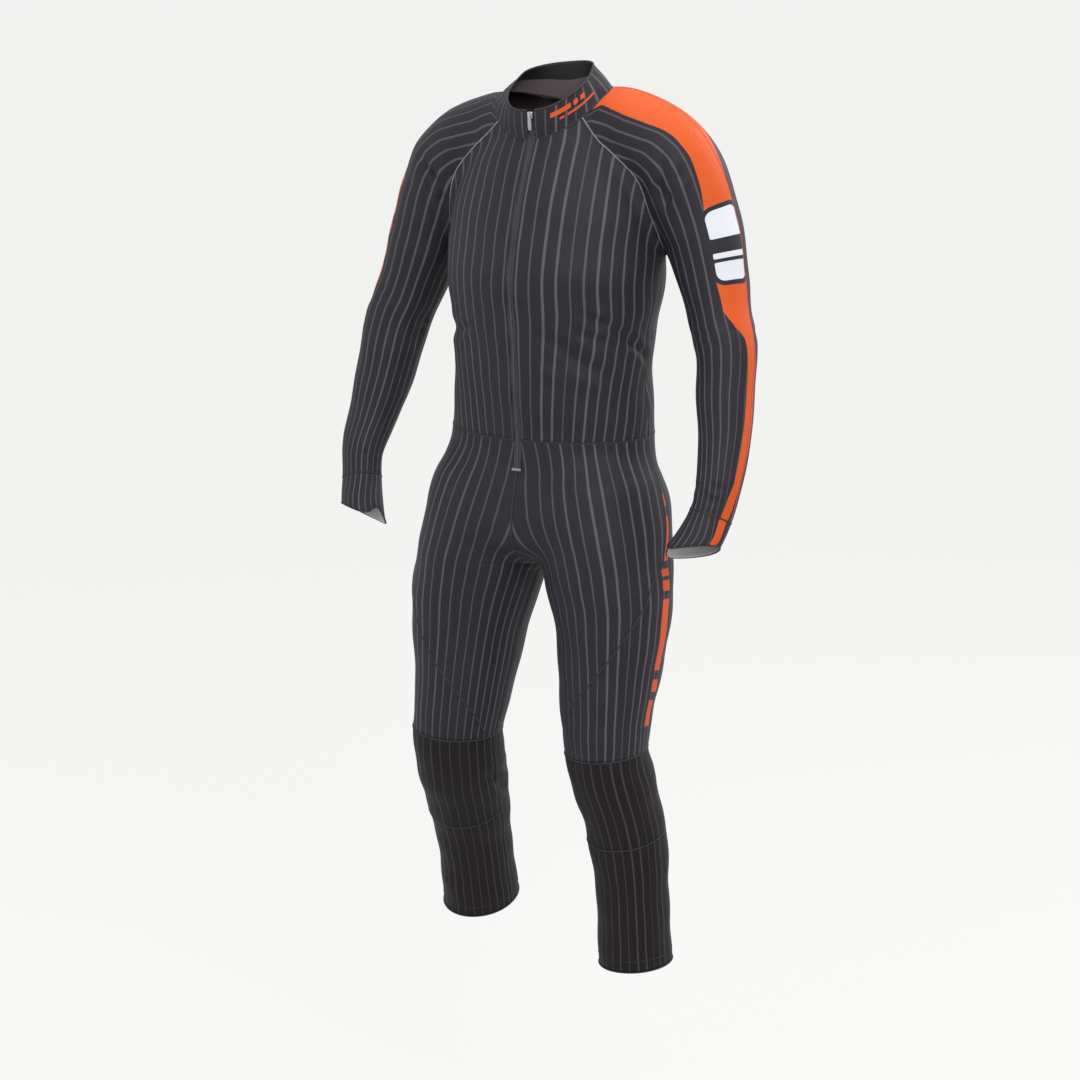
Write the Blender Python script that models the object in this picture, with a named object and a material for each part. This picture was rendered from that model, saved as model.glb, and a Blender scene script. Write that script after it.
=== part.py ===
"""A ski race suit, worn and filled out with no wearer, as walls of stretch cloth.

Metres, +Z up. The front faces -Y and the wearer's left is +X. The origin is in the base of the
neck, between the shoulders that hold the suit up. The body of the suit is one smooth form: soft
tubes for the trunk, the arms and the legs, blended into each other. Each cut piece is a patch of
that form, found by casting rays outwards from the limb's axis between its seams.
"""

import math

import bmesh
import bpy
import numpy as np

COLLECTION = "ski_race_suit"

# Cloth and seams
WALL = 0.0020
SEAM_GAP = 0.0003

# Blend radii of the form
TRUNK_BLEND = 0.030
CROTCH_BLEND = 0.022

# Zip
ZIP_HALF = 0.0062
ZIP_FOOT = -0.5345
CHAIN_HALF = 0.0016
TAPE_THICK = 0.0011
CHAIN_THICK = 0.0020
SLIDER_LENGTH = 0.011
SLIDER_WIDTH = 0.0085
SLIDER_THICK = 0.0032
PULL_LENGTH = 0.024
PULL_WIDTH = 0.0060
PULL_THICK = 0.0014
PULL_GAP = 0.0006
SLIDER_HEIGHT = -0.0165
PULL_ABOVE_SLIDER_MIDDLE = 0.0020
STOP_SIZE = (0.0150, 0.0040, 0.0012)
STOP_BELOW_ZIP = 0.0015
ZIP_TOP = -0.011
TAPE_BELOW_CHAIN = 0.0004

# Seam heights
WAIST_HEIGHT = -0.492
UNDERARM_OVER = {1: (0.172, 0.030, -0.140), -1: (-0.173, 0.030, -0.140)}
CROTCH_OVER = (0.0, -0.022, -0.600)

# Soft tubes of the form, from the top down. Half sizes are outward and forward of the axis, and
# the turn, in degrees, carries the outward one towards the back.
TUBE_COLUMNS = ("x", "y", "z", "half_out", "half_front", "turn")
TRUNK = (
    (0.000, 0.012, -0.055, 0.098, 0.082, 0),
    (0.000, 0.009, -0.100, 0.138, 0.103, 0),
    (0.000, 0.008, -0.150, 0.158, 0.124, 0),
    (0.000, 0.008, -0.200, 0.165, 0.139, 0),
    (0.000, 0.007, -0.264, 0.167, 0.149, 0),
    (0.000, 0.002, -0.333, 0.156, 0.136, 0),
    (0.000, -0.003, -0.400, 0.154, 0.124, 0),
    (0.000, -0.001, -0.470, 0.159, 0.118, 0),
    (0.000, -0.006, -0.534, 0.165, 0.111, 0),
    (0.000, -0.013, -0.590, 0.184, 0.117, 0),
    (0.000, -0.020, -0.640, 0.193, 0.120, 0),
)
ARM = (
    (0.050, 0.025, -0.036, 0.045, 0.055, 0),
    (0.100, 0.028, -0.042, 0.054, 0.064, 0),
    (0.148, 0.031, -0.065, 0.060, 0.068, 0),
    (0.183, 0.032, -0.094, 0.063, 0.070, 0),
    (0.206, 0.034, -0.134, 0.061, 0.067, 0),
    (0.225, 0.036, -0.180, 0.058, 0.064, 0),
    (0.241, 0.034, -0.235, 0.055, 0.060, 10),
    (0.260, 0.026, -0.300, 0.047, 0.055, 20),
    (0.277, 0.015, -0.350, 0.045, 0.053, 20),
    (0.286, -0.006, -0.420, 0.043, 0.048, 20),
    (0.295, -0.026, -0.480, 0.039, 0.040, 20),
    (0.301, -0.056, -0.540, 0.034, 0.031, 25),
    (0.295, -0.070, -0.585, 0.032, 0.030, 30),
    (0.282, -0.092, -0.625, 0.034, 0.031, 30),
    (0.257, -0.123, -0.668, 0.034, 0.031, 30),
)
THIGH = (
    (0.090, -0.016, -0.600, 0.095, 0.112, 0),
    (0.104, -0.026, -0.680, 0.096, 0.112, 5),
    (0.116, -0.034, -0.740, 0.092, 0.103, 12),
    (0.121, -0.042, -0.790, 0.084, 0.095, 20),
    (0.122, -0.053, -0.850, 0.077, 0.085, 20),
    (0.123, -0.064, -0.900, 0.070, 0.077, 20),
)
LEFT_SHANK = (
    (0.127, -0.071, -0.960, 0.063, 0.072, 20),
    (0.131, -0.057, -1.010, 0.063, 0.069, 20),
    (0.136, -0.038, -1.060, 0.060, 0.067, 20),
    (0.141, -0.024, -1.120, 0.060, 0.064, 10),
    (0.145, -0.018, -1.190, 0.055, 0.060, 10),
    (0.149, -0.014, -1.306, 0.056, 0.063, 10),
)
RIGHT_SHANK = (
    (0.128, -0.072, -0.958, 0.065, 0.072, 20),
    (0.132, -0.058, -1.007, 0.063, 0.071, 20),
    (0.140, -0.028, -1.055, 0.061, 0.069, 20),
    (0.149, 0.004, -1.112, 0.059, 0.065, 15),
    (0.155, 0.030, -1.175, 0.055, 0.061, 10),
    (0.162, 0.062, -1.272, 0.057, 0.064, 10),
)

# The figure stands with its weight on the left leg, so the shoulders and collar lean to the
# right: a rise in height for each metre to the left, and a rise of the left neck slope that
# fades out over the shoulder.
SHOULDER_LEAN = 0.045
NECK_RISE = 0.008
NECK_RISE_ENDS = 0.180
COLLAR_LEAN = 0.110
LEAN_FROM_HEIGHT = -0.300
LEAN_FULL_ABOVE = 0.200

# Collar: the seam on the body and the rim, by angle from the front round to the back.
COLLAR_COLUMNS = ("angle", "seam_radius", "seam_z", "rim_radius", "rim_z")
COLLAR = (
    (0, 0.0785, -0.049, 0.0750, -0.009),
    (22, 0.0800, -0.045, 0.0765, -0.006),
    (52, 0.0890, -0.026, 0.0700, 0.011),
    (80, 0.0920, 0.000, 0.0625, 0.028),
    (105, 0.0940, 0.017, 0.0580, 0.043),
    (140, 0.0860, 0.021, 0.0560, 0.049),
    (180, 0.0760, 0.014, 0.0550, 0.050),
)

# Raglan seams from the collar to the underarm, seen from the front and from the back.
RAGLAN_COLUMNS = ("front_x", "front_z", "back_x", "back_z")
RAGLAN = (
    (0.0900, -0.050, 0.0760, -0.022),
    (0.1220, -0.078, 0.1080, -0.062),
    (0.1490, -0.107, 0.1340, -0.105),
    (0.1620, -0.142, 0.1450, -0.145),
    (0.1700, -0.176, 0.1580, -0.180),
    (0.1740, -0.205, 0.1670, -0.207),
)
RAGLAN_AT_COLLAR = (60.0, 138.0)
OVERARM_AT_COLLAR = 98.0
RAGLAN_CAST_FROM = 0.025
RAGLAN_DROP = {1: 0.0, -1: 0.0115}
SLEEVE_TOP_FROM = (0.020, 0.012, -0.045)

# Angles from the middle where the zip meets the collar: the bodice's edge and the collar's end
ZIP_AT_NECK = 4.6
COLLAR_END = 5.2
COLLAR_FOOT = -0.046
SPINE_TOP = 0.010

# Rows of each trouser half from the waist to the crotch. The drop, in degrees, carries the row's
# ends round under the body, and the lean turns the row square to the leg.
SEAT_COLUMNS = ("origin_x", "origin_y", "seam_z", "drop", "lean")
SEAT = (
    (0.000, -0.001, -0.4920, 0, 0.0),
    (0.018, -0.004, -0.5345, 0, 0.0),
    (0.045, -0.008, -0.5850, 0, 0.1),
    (0.078, -0.014, -0.6350, 8, 0.4),
    (0.100, -0.026, -0.6450, 42, 0.8),
)

# Places along the limbs, counted in rows of their tubes' tables
ELBOW_ROWS = (7.0, 9.0)
WRIST_ROW = 12.0
CUFF_END_ROW = 13.75

# The cuff's mouth is cut back most at its outer side, and in a notch for the thumb
CUFF_SLANT = 0.062
THUMB_NOTCH = 0.022
THUMB_ANGLE = -82.0
THUMB_SPREAD = 26.0
KNEE_ROW = 6.0
SHIN_ROW = 8.7
HEM_ROW = 11.0

# The front thigh seam's angle, from the side at the waist to the inner knee
THIGH_SEAM_COLUMNS = ("row", "angle")
THIGH_SEAM = ((-5, 90), (-3, 90), (-1.5, 84), (0, 68), (1.5, 42), (3, 5), (3.7, -22), (4.6, -72))
SHANK_SEAMS = (-88.0, 95.0)

# Largest folds: a soft trough between two places, in metres of depth and half width
FOLD_COLUMNS = ("x1", "y1", "z1", "x2", "y2", "z2", "depth", "width")
FOLDS = (
    (0.050, -0.130, -0.335, 0.135, -0.075, -0.400, 0.0050, 0.009),
    (0.040, -0.132, -0.360, 0.085, -0.110, -0.385, 0.0030, 0.008),
    (-0.150, -0.020, -0.350, -0.120, -0.085, -0.335, 0.0030, 0.008),
    (0.200, -0.040, -0.100, 0.178, -0.055, -0.190, 0.0060, 0.010),
    (-0.200, -0.040, -0.100, -0.178, -0.055, -0.200, 0.0060, 0.010),
    (0.225, 0.020, -0.322, 0.285, -0.025, -0.345, 0.0050, 0.008),
    (-0.310, 0.000, -0.318, -0.232, 0.005, -0.350, 0.0060, 0.009),
    (-0.315, 0.000, -0.345, -0.240, 0.000, -0.375, 0.0050, 0.008),
    (0.130, 0.020, -0.965, 0.078, 0.000, -0.985, 0.0055, 0.010),
    (-0.130, 0.020, -0.965, -0.076, 0.000, -0.990, 0.0055, 0.010),
)

# Ray casting: outward steps as a share of the distance left, then halvings of the last step
MARCH_STEPS = 26
MARCH_SHARE = 0.75
MARCH_LEAST = 0.0012
HALVINGS = 13

# Colours
CLOTH = (0.034, 0.030, 0.034, 1.0)
CLOTH_DARK = (0.022, 0.020, 0.023, 1.0)
ZIP_BLACK = (0.014, 0.015, 0.022, 1.0)
SILVER = (0.560, 0.560, 0.580, 1.0)


def smooth_curve(table, places):
    """Rows of a table at places between its rows, along a Catmull-Rom curve."""
    rows = np.asarray(table, dtype=float)
    last = len(rows) - 1
    places = np.clip(np.asarray(places, dtype=float), 0.0, last)
    base = np.minimum(places.astype(int), last - 1)
    part = (places - base)[:, None]
    first, second = rows[base], rows[base + 1]
    has_before = (base > 0)[:, None]
    has_after = (base + 2 <= last)[:, None]
    before = np.where(has_before, rows[np.maximum(base - 1, 0)], 2 * first - second)
    after = np.where(has_after, rows[np.minimum(base + 2, last)], 2 * second - first)
    slope = (second - before) / 2
    next_slope = (after - first) / 2
    square, cube = part**2, part**3
    return (
        (2 * cube - 3 * square + 1) * first
        + (cube - 2 * square + part) * slope
        + (3 * square - 2 * cube) * second
        + (cube - square) * next_slope
    )


def unit(vectors):
    return vectors / np.maximum(np.linalg.norm(vectors, axis=-1, keepdims=True), 1e-12)


def limb_frames(along, side):
    """Forward and outward directions, square to each direction along a limb."""
    forward = unit(np.array([0.0, -1.0, 0.0]) + along * along[:, 1:2])
    outward = np.cross(forward, along) * side
    return forward, outward


class Tube:
    """A soft tube: elliptical sections along a smooth line, rounded past its ends."""

    def __init__(self, table, side=1.0, cap=0.05, per_row=5, lean=0.0):
        self.rows = np.array(table, dtype=float)
        self.rows[:, 0] *= side
        if lean:
            upper = np.clip((self.rows[:, 2] - LEAN_FROM_HEIGHT) / LEAN_FULL_ABOVE, 0.0, 1.0)
            near_neck = np.clip(1.0 - np.abs(self.rows[:, 0]) / NECK_RISE_ENDS, 0.0, 1.0)
            self.rows[:, 2] += upper * (lean * self.rows[:, 0] + side * NECK_RISE * near_neck)
        self.cap = cap
        last = len(self.rows) - 1
        self.line = smooth_curve(self.rows, np.linspace(0, last, last * per_row + 1))
        self.start = self.line[:-1, :3]
        self.step = np.diff(self.line[:, :3], axis=0)
        self.step_square = (self.step**2).sum(1)
        self.along = unit(self.step)
        self.forward, self.outward = limb_frames(self.along, side)

    def distance(self, points):
        """About how far each point lies outside the tube, negative inside."""
        offset = points[:, None, :] - self.start[None]
        part = np.clip((offset * self.step).sum(2) / self.step_square, 0.0, 1.0)
        gap = ((offset - part[..., None] * self.step) ** 2).sum(2)
        pick = gap.argmin(1)
        index = np.arange(len(points))
        part = part[index, pick]
        section = self.line[pick] + part[:, None] * (self.line[pick + 1] - self.line[pick])
        away = points - section[:, :3]
        named = dict(zip(TUBE_COLUMNS, section.T))
        turn = np.radians(named["turn"])
        forward, outward = self.forward[pick], self.outward[pick]
        out = (away * outward).sum(1) * np.cos(turn) - (away * forward).sum(1) * np.sin(turn)
        front = (away * forward).sum(1) * np.cos(turn) + (away * outward).sum(1) * np.sin(turn)
        past = (away * self.along[pick]).sum(1)
        out, front = out / named["half_out"], front / named["half_front"]
        ratio = np.maximum(np.sqrt(out**2 + front**2 + (past / self.cap) ** 2), 1e-9)
        return np.linalg.norm(away, axis=1) * (1 - 1 / ratio) - 1e-12

    def place(self, rows):
        """Centre points and directions along the tube at places counted in table rows."""
        rows = np.asarray(rows, dtype=float)
        centre = smooth_curve(self.rows, rows)[:, :3]
        small = 0.01
        last = len(self.rows) - 1
        ahead = smooth_curve(self.rows, np.minimum(rows + small, last))[:, :3]
        behind = smooth_curve(self.rows, np.maximum(rows - small, 0))[:, :3]
        return centre, unit(ahead - behind)

    def row_square_to(self, point, low, high, upright=False):
        """The place along the tube, between two rows, whose section passes through a point."""
        rows = np.linspace(low, high, 200)
        centre, along = self.place(rows)
        if upright:
            along[:, 0] = 0.0
            along = unit(along)
        past = ((point - centre) * along).sum(1)
        return float(np.interp(0.0, past[::-1], rows[::-1]))


class Form:
    """The suit's whole smooth form, as tubes blended one after another."""

    def __init__(self):
        self.trunk = Tube(TRUNK, cap=0.055)
        self.arms = {side: Tube(ARM, side, cap=0.045, lean=SHOULDER_LEAN) for side in (1, -1)}
        self.legs = {
            1: Tube(THIGH + LEFT_SHANK, 1, cap=0.09),
            -1: Tube(THIGH + RIGHT_SHANK, -1, cap=0.09),
        }

    def distance(self, points, zone):
        """Signed distance, with only the tubes that matter in the zone: top, hips or whole."""
        total = self.trunk.distance(points)
        if zone in ("top", "whole"):
            for arm in self.arms.values():
                total = smooth_min(total, arm.distance(points), TRUNK_BLEND)
        if zone in ("hips", "whole"):
            for leg in self.legs.values():
                total = smooth_min(total, leg.distance(points), CROTCH_BLEND)
        return total

    def cast(self, origin, direction, zone):
        """Where rays from inside leave the form: march outwards, then halve the last step."""
        shape = np.broadcast_shapes(origin.shape, direction.shape)
        origin = np.broadcast_to(origin, shape).reshape(-1, 3)
        direction = unit(np.broadcast_to(direction, shape).reshape(-1, 3))
        low = np.zeros(len(origin))
        high = np.zeros(len(origin))
        inside = np.ones(len(origin), dtype=bool)
        for _ in range(MARCH_STEPS):
            depth = self.distance(origin[inside] + high[inside, None] * direction[inside], zone)
            still = depth < 0
            where = np.flatnonzero(inside)
            low[where[still]] = high[where[still]]
            high[where[still]] += np.maximum(-MARCH_SHARE * depth[still], MARCH_LEAST)
            inside[where[~still]] = False
            if not inside.any():
                break
        for _ in range(HALVINGS):
            middle = (low + high) / 2
            outside = self.distance(origin + middle[:, None] * direction, zone) >= 0
            high = np.where(outside, middle, high)
            low = np.where(outside, low, middle)
        return (origin + high[:, None] * direction).reshape(shape)

    def normals(self, points, zone):
        """Outward directions of the form at points on it."""
        flat = points.reshape(-1, 3)
        small = 0.0015
        slope = np.zeros_like(flat)
        for axis in range(3):
            shift = np.zeros(3)
            shift[axis] = small
            slope[:, axis] = self.distance(flat + shift, zone) - self.distance(flat - shift, zone)
        return unit(slope).reshape(points.shape)


def smooth_min(first, second, radius):
    """The smaller of two distances, rounded where they are closer than the radius."""
    near = np.maximum(radius - np.abs(first - second), 0.0) / radius
    return np.minimum(first, second) - near**2 * radius / 4


def fold_depth(points):
    """How far the folds press each point in: a soft trough round each fold's line."""
    total = np.zeros(points.shape[:-1])
    for row in FOLDS:
        fold = dict(zip(FOLD_COLUMNS, row))
        start = np.array([fold["x1"], fold["y1"], fold["z1"]])
        run = np.array([fold["x2"], fold["y2"], fold["z2"]]) - start
        part = np.clip(((points - start) @ run) / (run @ run), 0.0, 1.0)
        away = points - (start + part[..., None] * run)
        near = np.exp(-(away**2).sum(-1) / (2 * fold["width"] ** 2))
        total += fold["depth"] * np.sin(np.pi * (0.08 + 0.84 * part)) * near
    return total


def edge_shift(line, inner_line, normal):
    """Half a seam gap, square to an edge and in the cloth, towards the next line of points."""
    run = np.gradient(line, axis=0)
    square = unit(np.cross(normal, run))
    side = np.sign((square * (inner_line - line)).sum(-1, keepdims=True))
    return square * side * SEAM_GAP / 2


def inset(grid, normal, edges):
    """The grid with its named edges moved in by half a seam gap, along the cloth."""
    moved = grid.copy()
    if "left" in edges:
        moved[:, 0] += edge_shift(grid[:, 0], grid[:, 1], normal[:, 0])
    if "right" in edges:
        moved[:, -1] += edge_shift(grid[:, -1], grid[:, -2], normal[:, -1])
    if "top" in edges:
        moved[0] += edge_shift(grid[0], grid[1], normal[0])
    if "bottom" in edges:
        moved[-1] += edge_shift(grid[-1], grid[-2], normal[-1])
    return moved


def quads(first, second, third, fourth):
    return np.stack([first, second, third, fourth], axis=-1).reshape(-1, 4).tolist()


def edge_strip(outer, inner):
    """Faces across the wall's edge, split the same way in both pieces that share a seam."""
    first = np.stack([outer[:-1], outer[1:], inner[1:]], axis=-1)
    second = np.stack([outer[:-1], inner[1:], inner[:-1]], axis=-1)
    return np.concatenate([first, second])


def wall_mesh(name, outer, inner, closed=False):
    """A closed wall between an outer and an inner grid, as a loft between unlike sections."""
    rows, columns = outer.shape[:2]
    points = np.concatenate([outer.reshape(-1, 3), inner.reshape(-1, 3)])
    top = np.arange(rows * columns).reshape(rows, columns)
    if closed:
        top = np.concatenate([top, top[:, :1]], axis=1)
    under = top + rows * columns
    faces = quads(top[:-1, :-1], top[1:, :-1], top[1:, 1:], top[:-1, 1:])
    faces += quads(under[:-1, :-1], under[:-1, 1:], under[1:, 1:], under[1:, :-1])
    faces += edge_strip(top[0], under[0]).tolist()
    faces += edge_strip(top[-1], under[-1])[:, ::-1].tolist()
    if not closed:
        faces += edge_strip(top[:, 0], under[:, 0])[:, ::-1].tolist()
        faces += edge_strip(top[:, -1], under[:, -1]).tolist()
    mesh = bpy.data.meshes.new(name)
    mesh.from_pydata(points.tolist(), [], faces)
    shape = bmesh.new()
    shape.from_mesh(mesh)
    if shape.calc_volume(signed=True) < 0:
        bmesh.ops.reverse_faces(shape, faces=shape.faces)
    shape.to_mesh(mesh)
    shape.free()
    mesh.shade_smooth()
    mesh.set_sharp_from_angle(angle=math.radians(50))
    return mesh


def material(name, colour, roughness, metallic=0.0):
    """A Principled material, made once for each name."""
    found = bpy.data.materials.get(name)
    if found:
        return found
    made = bpy.data.materials.new(name)
    made.use_nodes = True
    shader = made.node_tree.nodes["Principled BSDF"]
    shader.inputs["Base Color"].default_value = colour
    shader.inputs["Roughness"].default_value = roughness
    shader.inputs["Metallic"].default_value = metallic
    made.diffuse_color = colour
    return made


def add_object(name, mesh, finish):
    """An object for the mesh in the suit's collection."""
    mesh.materials.append(finish)
    made = bpy.data.objects.new(name, mesh)
    bpy.data.collections[COLLECTION].objects.link(made)
    return made


def add_cloth(name, form, grid, zone, edges, finish, closed=False):
    """A cloth wall under a grid of points on the form, with its folds and seam gaps."""
    normal = form.normals(grid, zone)
    outer = inset(grid, normal, edges) - normal * fold_depth(grid)[..., None]
    inner = outer - normal * WALL
    return add_object(name, wall_mesh(name, outer, inner, closed), finish)


def side_name(side):
    return "left" if side > 0 else "right"


ALL_EDGES = "left right top bottom"
EDGES_ABOVE_HEM = "left right top"


class Limb:
    """Rows round a limb: a start point, a frame and the angles of its two edges in each row."""

    def __init__(self, origin, along, side):
        self.origin = origin
        self.along = along
        self.forward, self.outward = limb_frames(along, side)
        count = len(origin)
        self.first_angle = np.full(count, -90.0)
        self.last_angle = np.full(count, 270.0)
        self.first_rise = np.zeros(count)
        self.last_rise = np.zeros(count)

    def set_edge(self, row, point, last):
        """Makes the row's first or last edge pass through a point."""
        away = unit(point - self.origin[row])
        forward = float(away @ self.forward[row])
        outward = float(away @ self.outward[row])
        angle = math.degrees(math.atan2(outward, forward))
        rise = math.degrees(math.asin(np.clip(float(away @ self.along[row]), -1, 1)))
        if last:
            self.last_angle[row] = angle + 360 if angle < 0 else angle
            self.last_rise[row] = rise
        else:
            self.first_angle[row] = angle - 360 if angle > 100 else angle
            self.first_rise[row] = rise

    def directions(self, angles):
        """Ray directions at angles from the front, outwards and round, in each row."""
        middle = 90.0
        first = (angles - middle) / (self.first_angle[:, None] - middle)
        last = (angles - middle) / (self.last_angle[:, None] - middle)
        rise = np.where(
            angles < middle,
            self.first_rise[:, None] * np.clip(first, 0, 1) ** 2,
            self.last_rise[:, None] * np.clip(last, 0, 1) ** 2,
        )
        turn, lift = np.radians(angles), np.radians(rise)
        flat = (
            np.cos(turn)[..., None] * self.forward[:, None]
            + np.sin(turn)[..., None] * self.outward[:, None]
        )
        return np.cos(lift)[..., None] * flat + np.sin(lift)[..., None] * self.along[:, None]

    def angles_between(self, left, right, columns):
        """Even angles between two edges, each an angle for every row."""
        share = np.linspace(0, 1, columns)[None, :]
        left = np.broadcast_to(left, len(self.origin))[:, None]
        right = np.broadcast_to(right, len(self.origin))[:, None]
        return left + (right - left) * share


def collar_points(angles, part):
    """Points of the collar by angle, positive to the left, at a part of its height."""
    table = np.array(COLLAR)
    places = np.interp(np.abs(angles), table[:, 0], np.arange(len(table)))
    mirrored = np.concatenate([table[1:2], table, table[-2:-1]])
    rows = dict(zip(COLLAR_COLUMNS, smooth_curve(mirrored, places + 1).T))
    radius = rows["seam_radius"] + (rows["rim_radius"] - rows["seam_radius"]) * part
    height = rows["seam_z"] + (rows["rim_z"] - rows["seam_z"]) * part
    turn = np.radians(angles)
    across = np.sin(turn) * radius
    return np.stack([across, -np.cos(turn) * radius, height + COLLAR_LEAN * across], axis=-1)


def neck_seam(form, angles):
    """The collar's seam on the form, by angle."""
    centre = np.array([0.0, 0.0, -0.070])
    return form.cast(centre, collar_points(np.asarray(angles, float), 0.0) - centre, "top")


def arc(form, origin, start, end, columns, zone):
    """Rows of points on the form from start points to end points, at even angles."""
    first, last = unit(start - origin), unit(end - origin)
    spread = np.arccos(np.clip((first * last).sum(-1), -1, 1))[:, None]
    share = np.linspace(0, 1, columns)[None, :]
    one = (np.sin((1 - share) * spread) / np.sin(spread))[..., None]
    two = (np.sin(share * spread) / np.sin(spread))[..., None]
    return form.cast(origin[:, None], first[:, None] * one + last[:, None] * two, zone)


class Suit:
    """Builds every piece of the suit from the form and the tables above."""

    def __init__(self):
        self.form = Form()
        self.cloth = material("stretch_cloth", CLOTH, 0.62)
        self.dark = material("stretch_cloth_dark", CLOTH_DARK, 0.65)
        self.zip_black = material("zip_tape", ZIP_BLACK, 0.5)
        self.silver = material("zinc_alloy", SILVER, 0.3, 1.0)
        self.raglan = {}

    def raglan_points(self, side):
        """Front and back raglan seams from the collar to just above the underarm."""
        if side in self.raglan:
            return self.raglan[side]
        places = np.linspace(0, len(RAGLAN) - 1, 2 * len(RAGLAN) - 1)
        rows = dict(zip(RAGLAN_COLUMNS, smooth_curve(RAGLAN, places).T))
        drop = RAGLAN_DROP[side] * places / places[-1]
        seams = []
        for face, way, angle in zip(("front", "back"), (-1.0, 1.0), RAGLAN_AT_COLLAR):
            inside = np.full(len(places), RAGLAN_CAST_FROM)
            across = rows[face + "_x"]
            height = rows[face + "_z"] - drop
            origin = np.stack([across * side, inside, height], axis=-1)
            line = self.form.cast(origin, np.array([[0.0, way, 0.0]]), "top")
            seams.append(np.concatenate([neck_seam(self.form, [angle * side]), line]))
        self.raglan[side] = seams
        return seams

    def underarm(self, side):
        """The point where body, sleeve and side seams meet."""
        down = np.array([[0.0, 0.0, -1.0]])
        return self.form.cast(np.array([UNDERARM_OVER[side]]), down, "top")[0]

    def sleeve(self, side):
        """Front and back halves of one raglan sleeve, and the hand cuff."""
        arm = self.form.arms[side]
        front, back = self.raglan_points(side)
        open_rows = len(front)
        under = self.underarm(side)
        under_row = arm.row_square_to(under, 4.0, 8.0)
        upper = np.linspace(1.0, under_row - 0.25, open_rows - 1)
        elbow = np.linspace(ELBOW_ROWS[0], ELBOW_ROWS[1], 11)
        lower = np.linspace(ELBOW_ROWS[1], WRIST_ROW, 9)[1:]
        armpit = under_row + np.array([0.0, 0.12, 0.30])
        between = np.linspace(armpit[-1], ELBOW_ROWS[0], 3)[1:-1]
        places = np.concatenate([upper, armpit, between, elbow, lower])
        centre, along = arm.place(places)
        inside_neck = np.array(SLEEVE_TOP_FROM) * np.array([side, 1.0, 1.0])
        centre = np.concatenate([inside_neck[None], centre])
        along = np.concatenate([[[0.0, 0.0, -1.0]], along])
        limb = Limb(centre, along, side)
        for row in range(open_rows):
            limb.set_edge(row, front[row], last=False)
            limb.set_edge(row, back[row], last=True)
        limb.set_edge(open_rows, under, last=False)
        limb.set_edge(open_rows, under, last=True)
        columns = 7
        overarm = 90.0
        for piece, left, right, ends in (
            ("sleeve_front", limb.first_angle, overarm, (RAGLAN_AT_COLLAR[0], OVERARM_AT_COLLAR)),
            ("sleeve_back", overarm, limb.last_angle, (OVERARM_AT_COLLAR, RAGLAN_AT_COLLAR[1])),
        ):
            angles = limb.angles_between(left, right, columns)
            grid = self.form.cast(limb.origin[:, None], limb.directions(angles), "top")
            grid[0] = neck_seam(self.form, np.linspace(ends[0], ends[1], columns) * side)
            column, seam = (0, front) if piece == "sleeve_front" else (-1, back)
            grid[: open_rows + 1, column] = np.concatenate([seam, under[None]])
            name = f"{piece}_{side_name(side)}"
            add_cloth(name, self.form, grid, "top", ALL_EDGES, self.cloth)
        self.cuff(side, arm)

    def cuff(self, side, arm):
        """The hand cuff: a tube past the wrist, cut off slantwise, with a notch for the thumb."""
        places = np.linspace(WRIST_ROW, CUFF_END_ROW, 7)
        centre, along = arm.place(places)
        limb = Limb(centre, along, side)
        angles = np.broadcast_to(np.linspace(-90, 270, 21)[None, :-1], (len(places), 20))
        directions = limb.directions(angles)
        share = ((places - WRIST_ROW) / (CUFF_END_ROW - WRIST_ROW))[:, None]
        slant = CUFF_SLANT * (1 + np.sin(np.radians(angles))) / 2
        notch = THUMB_NOTCH * np.exp(-(((angles - THUMB_ANGLE) / THUMB_SPREAD) ** 2))
        cut_back = share * (slant + notch)
        origin = limb.origin[:, None] - limb.along[:, None] * cut_back[..., None]
        grid = self.form.cast(origin, directions, "top")
        add_cloth(f"cuff_{side_name(side)}", self.form, grid, "top", "top", self.cloth, closed=True)

    def body_rows(self, under):
        """Heights of the bodice rows at the side, from just below the underarm to the waist."""
        close = under - np.array([0.005, 0.014, 0.028])
        return np.concatenate(
            [close, np.linspace(-0.310, -0.400, 10), np.linspace(-0.418, WAIST_HEIGHT, 5)]
        )

    def bodice(self):
        """Two fronts and one back, from the collar to the waist seam."""
        halves = []
        for side in (1, -1):
            front, back = self.raglan_points(side)
            under = self.underarm(side)
            lower = self.body_rows(under[2])
            side_line = self.side_seam(side, lower)
            edge = np.concatenate([front, under[None], side_line])
            open_rows = len(front) + 1
            top = np.linspace(0, 1, open_rows)
            zip_top = COLLAR_FOOT + top * (under[2] - COLLAR_FOOT)
            zip_edge = self.zip_line(side * ZIP_HALF, np.concatenate([zip_top, lower]))
            zip_edge[0] = neck_seam(self.form, [side * ZIP_AT_NECK])[0]
            origin = self.trunk_axis((zip_edge[:, 2] + edge[:, 2]) / 2)
            grid = arc(self.form, origin, zip_edge, edge, 9, "top")
            grid[:, -1] = edge
            grid[0] = neck_seam(self.form, np.linspace(ZIP_AT_NECK, RAGLAN_AT_COLLAR[0], 9) * side)
            add_cloth(f"front_{side_name(side)}", self.form, grid, "top", ALL_EDGES, self.cloth)
            back_edge = np.concatenate([back, under[None], side_line])
            back_top = SPINE_TOP + top * (under[2] - SPINE_TOP)
            spine = self.trunk_axis(np.concatenate([back_top, lower]))
            spine = self.form.cast(spine, np.array([[0.0, 1.0, 0.0]]), "top")
            spine[0] = neck_seam(self.form, [180.0])[0]
            origin = self.trunk_axis((spine[:, 2] + back_edge[:, 2]) / 2)
            half = arc(self.form, origin, back_edge, spine, 8, "top")
            half[:, 0] = back_edge
            half[0] = neck_seam(self.form, np.linspace(RAGLAN_AT_COLLAR[1], 180.0, 8) * side)
            halves.append(half)
        grid = np.concatenate([halves[0], halves[1][:, -2::-1]], axis=1)
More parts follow.
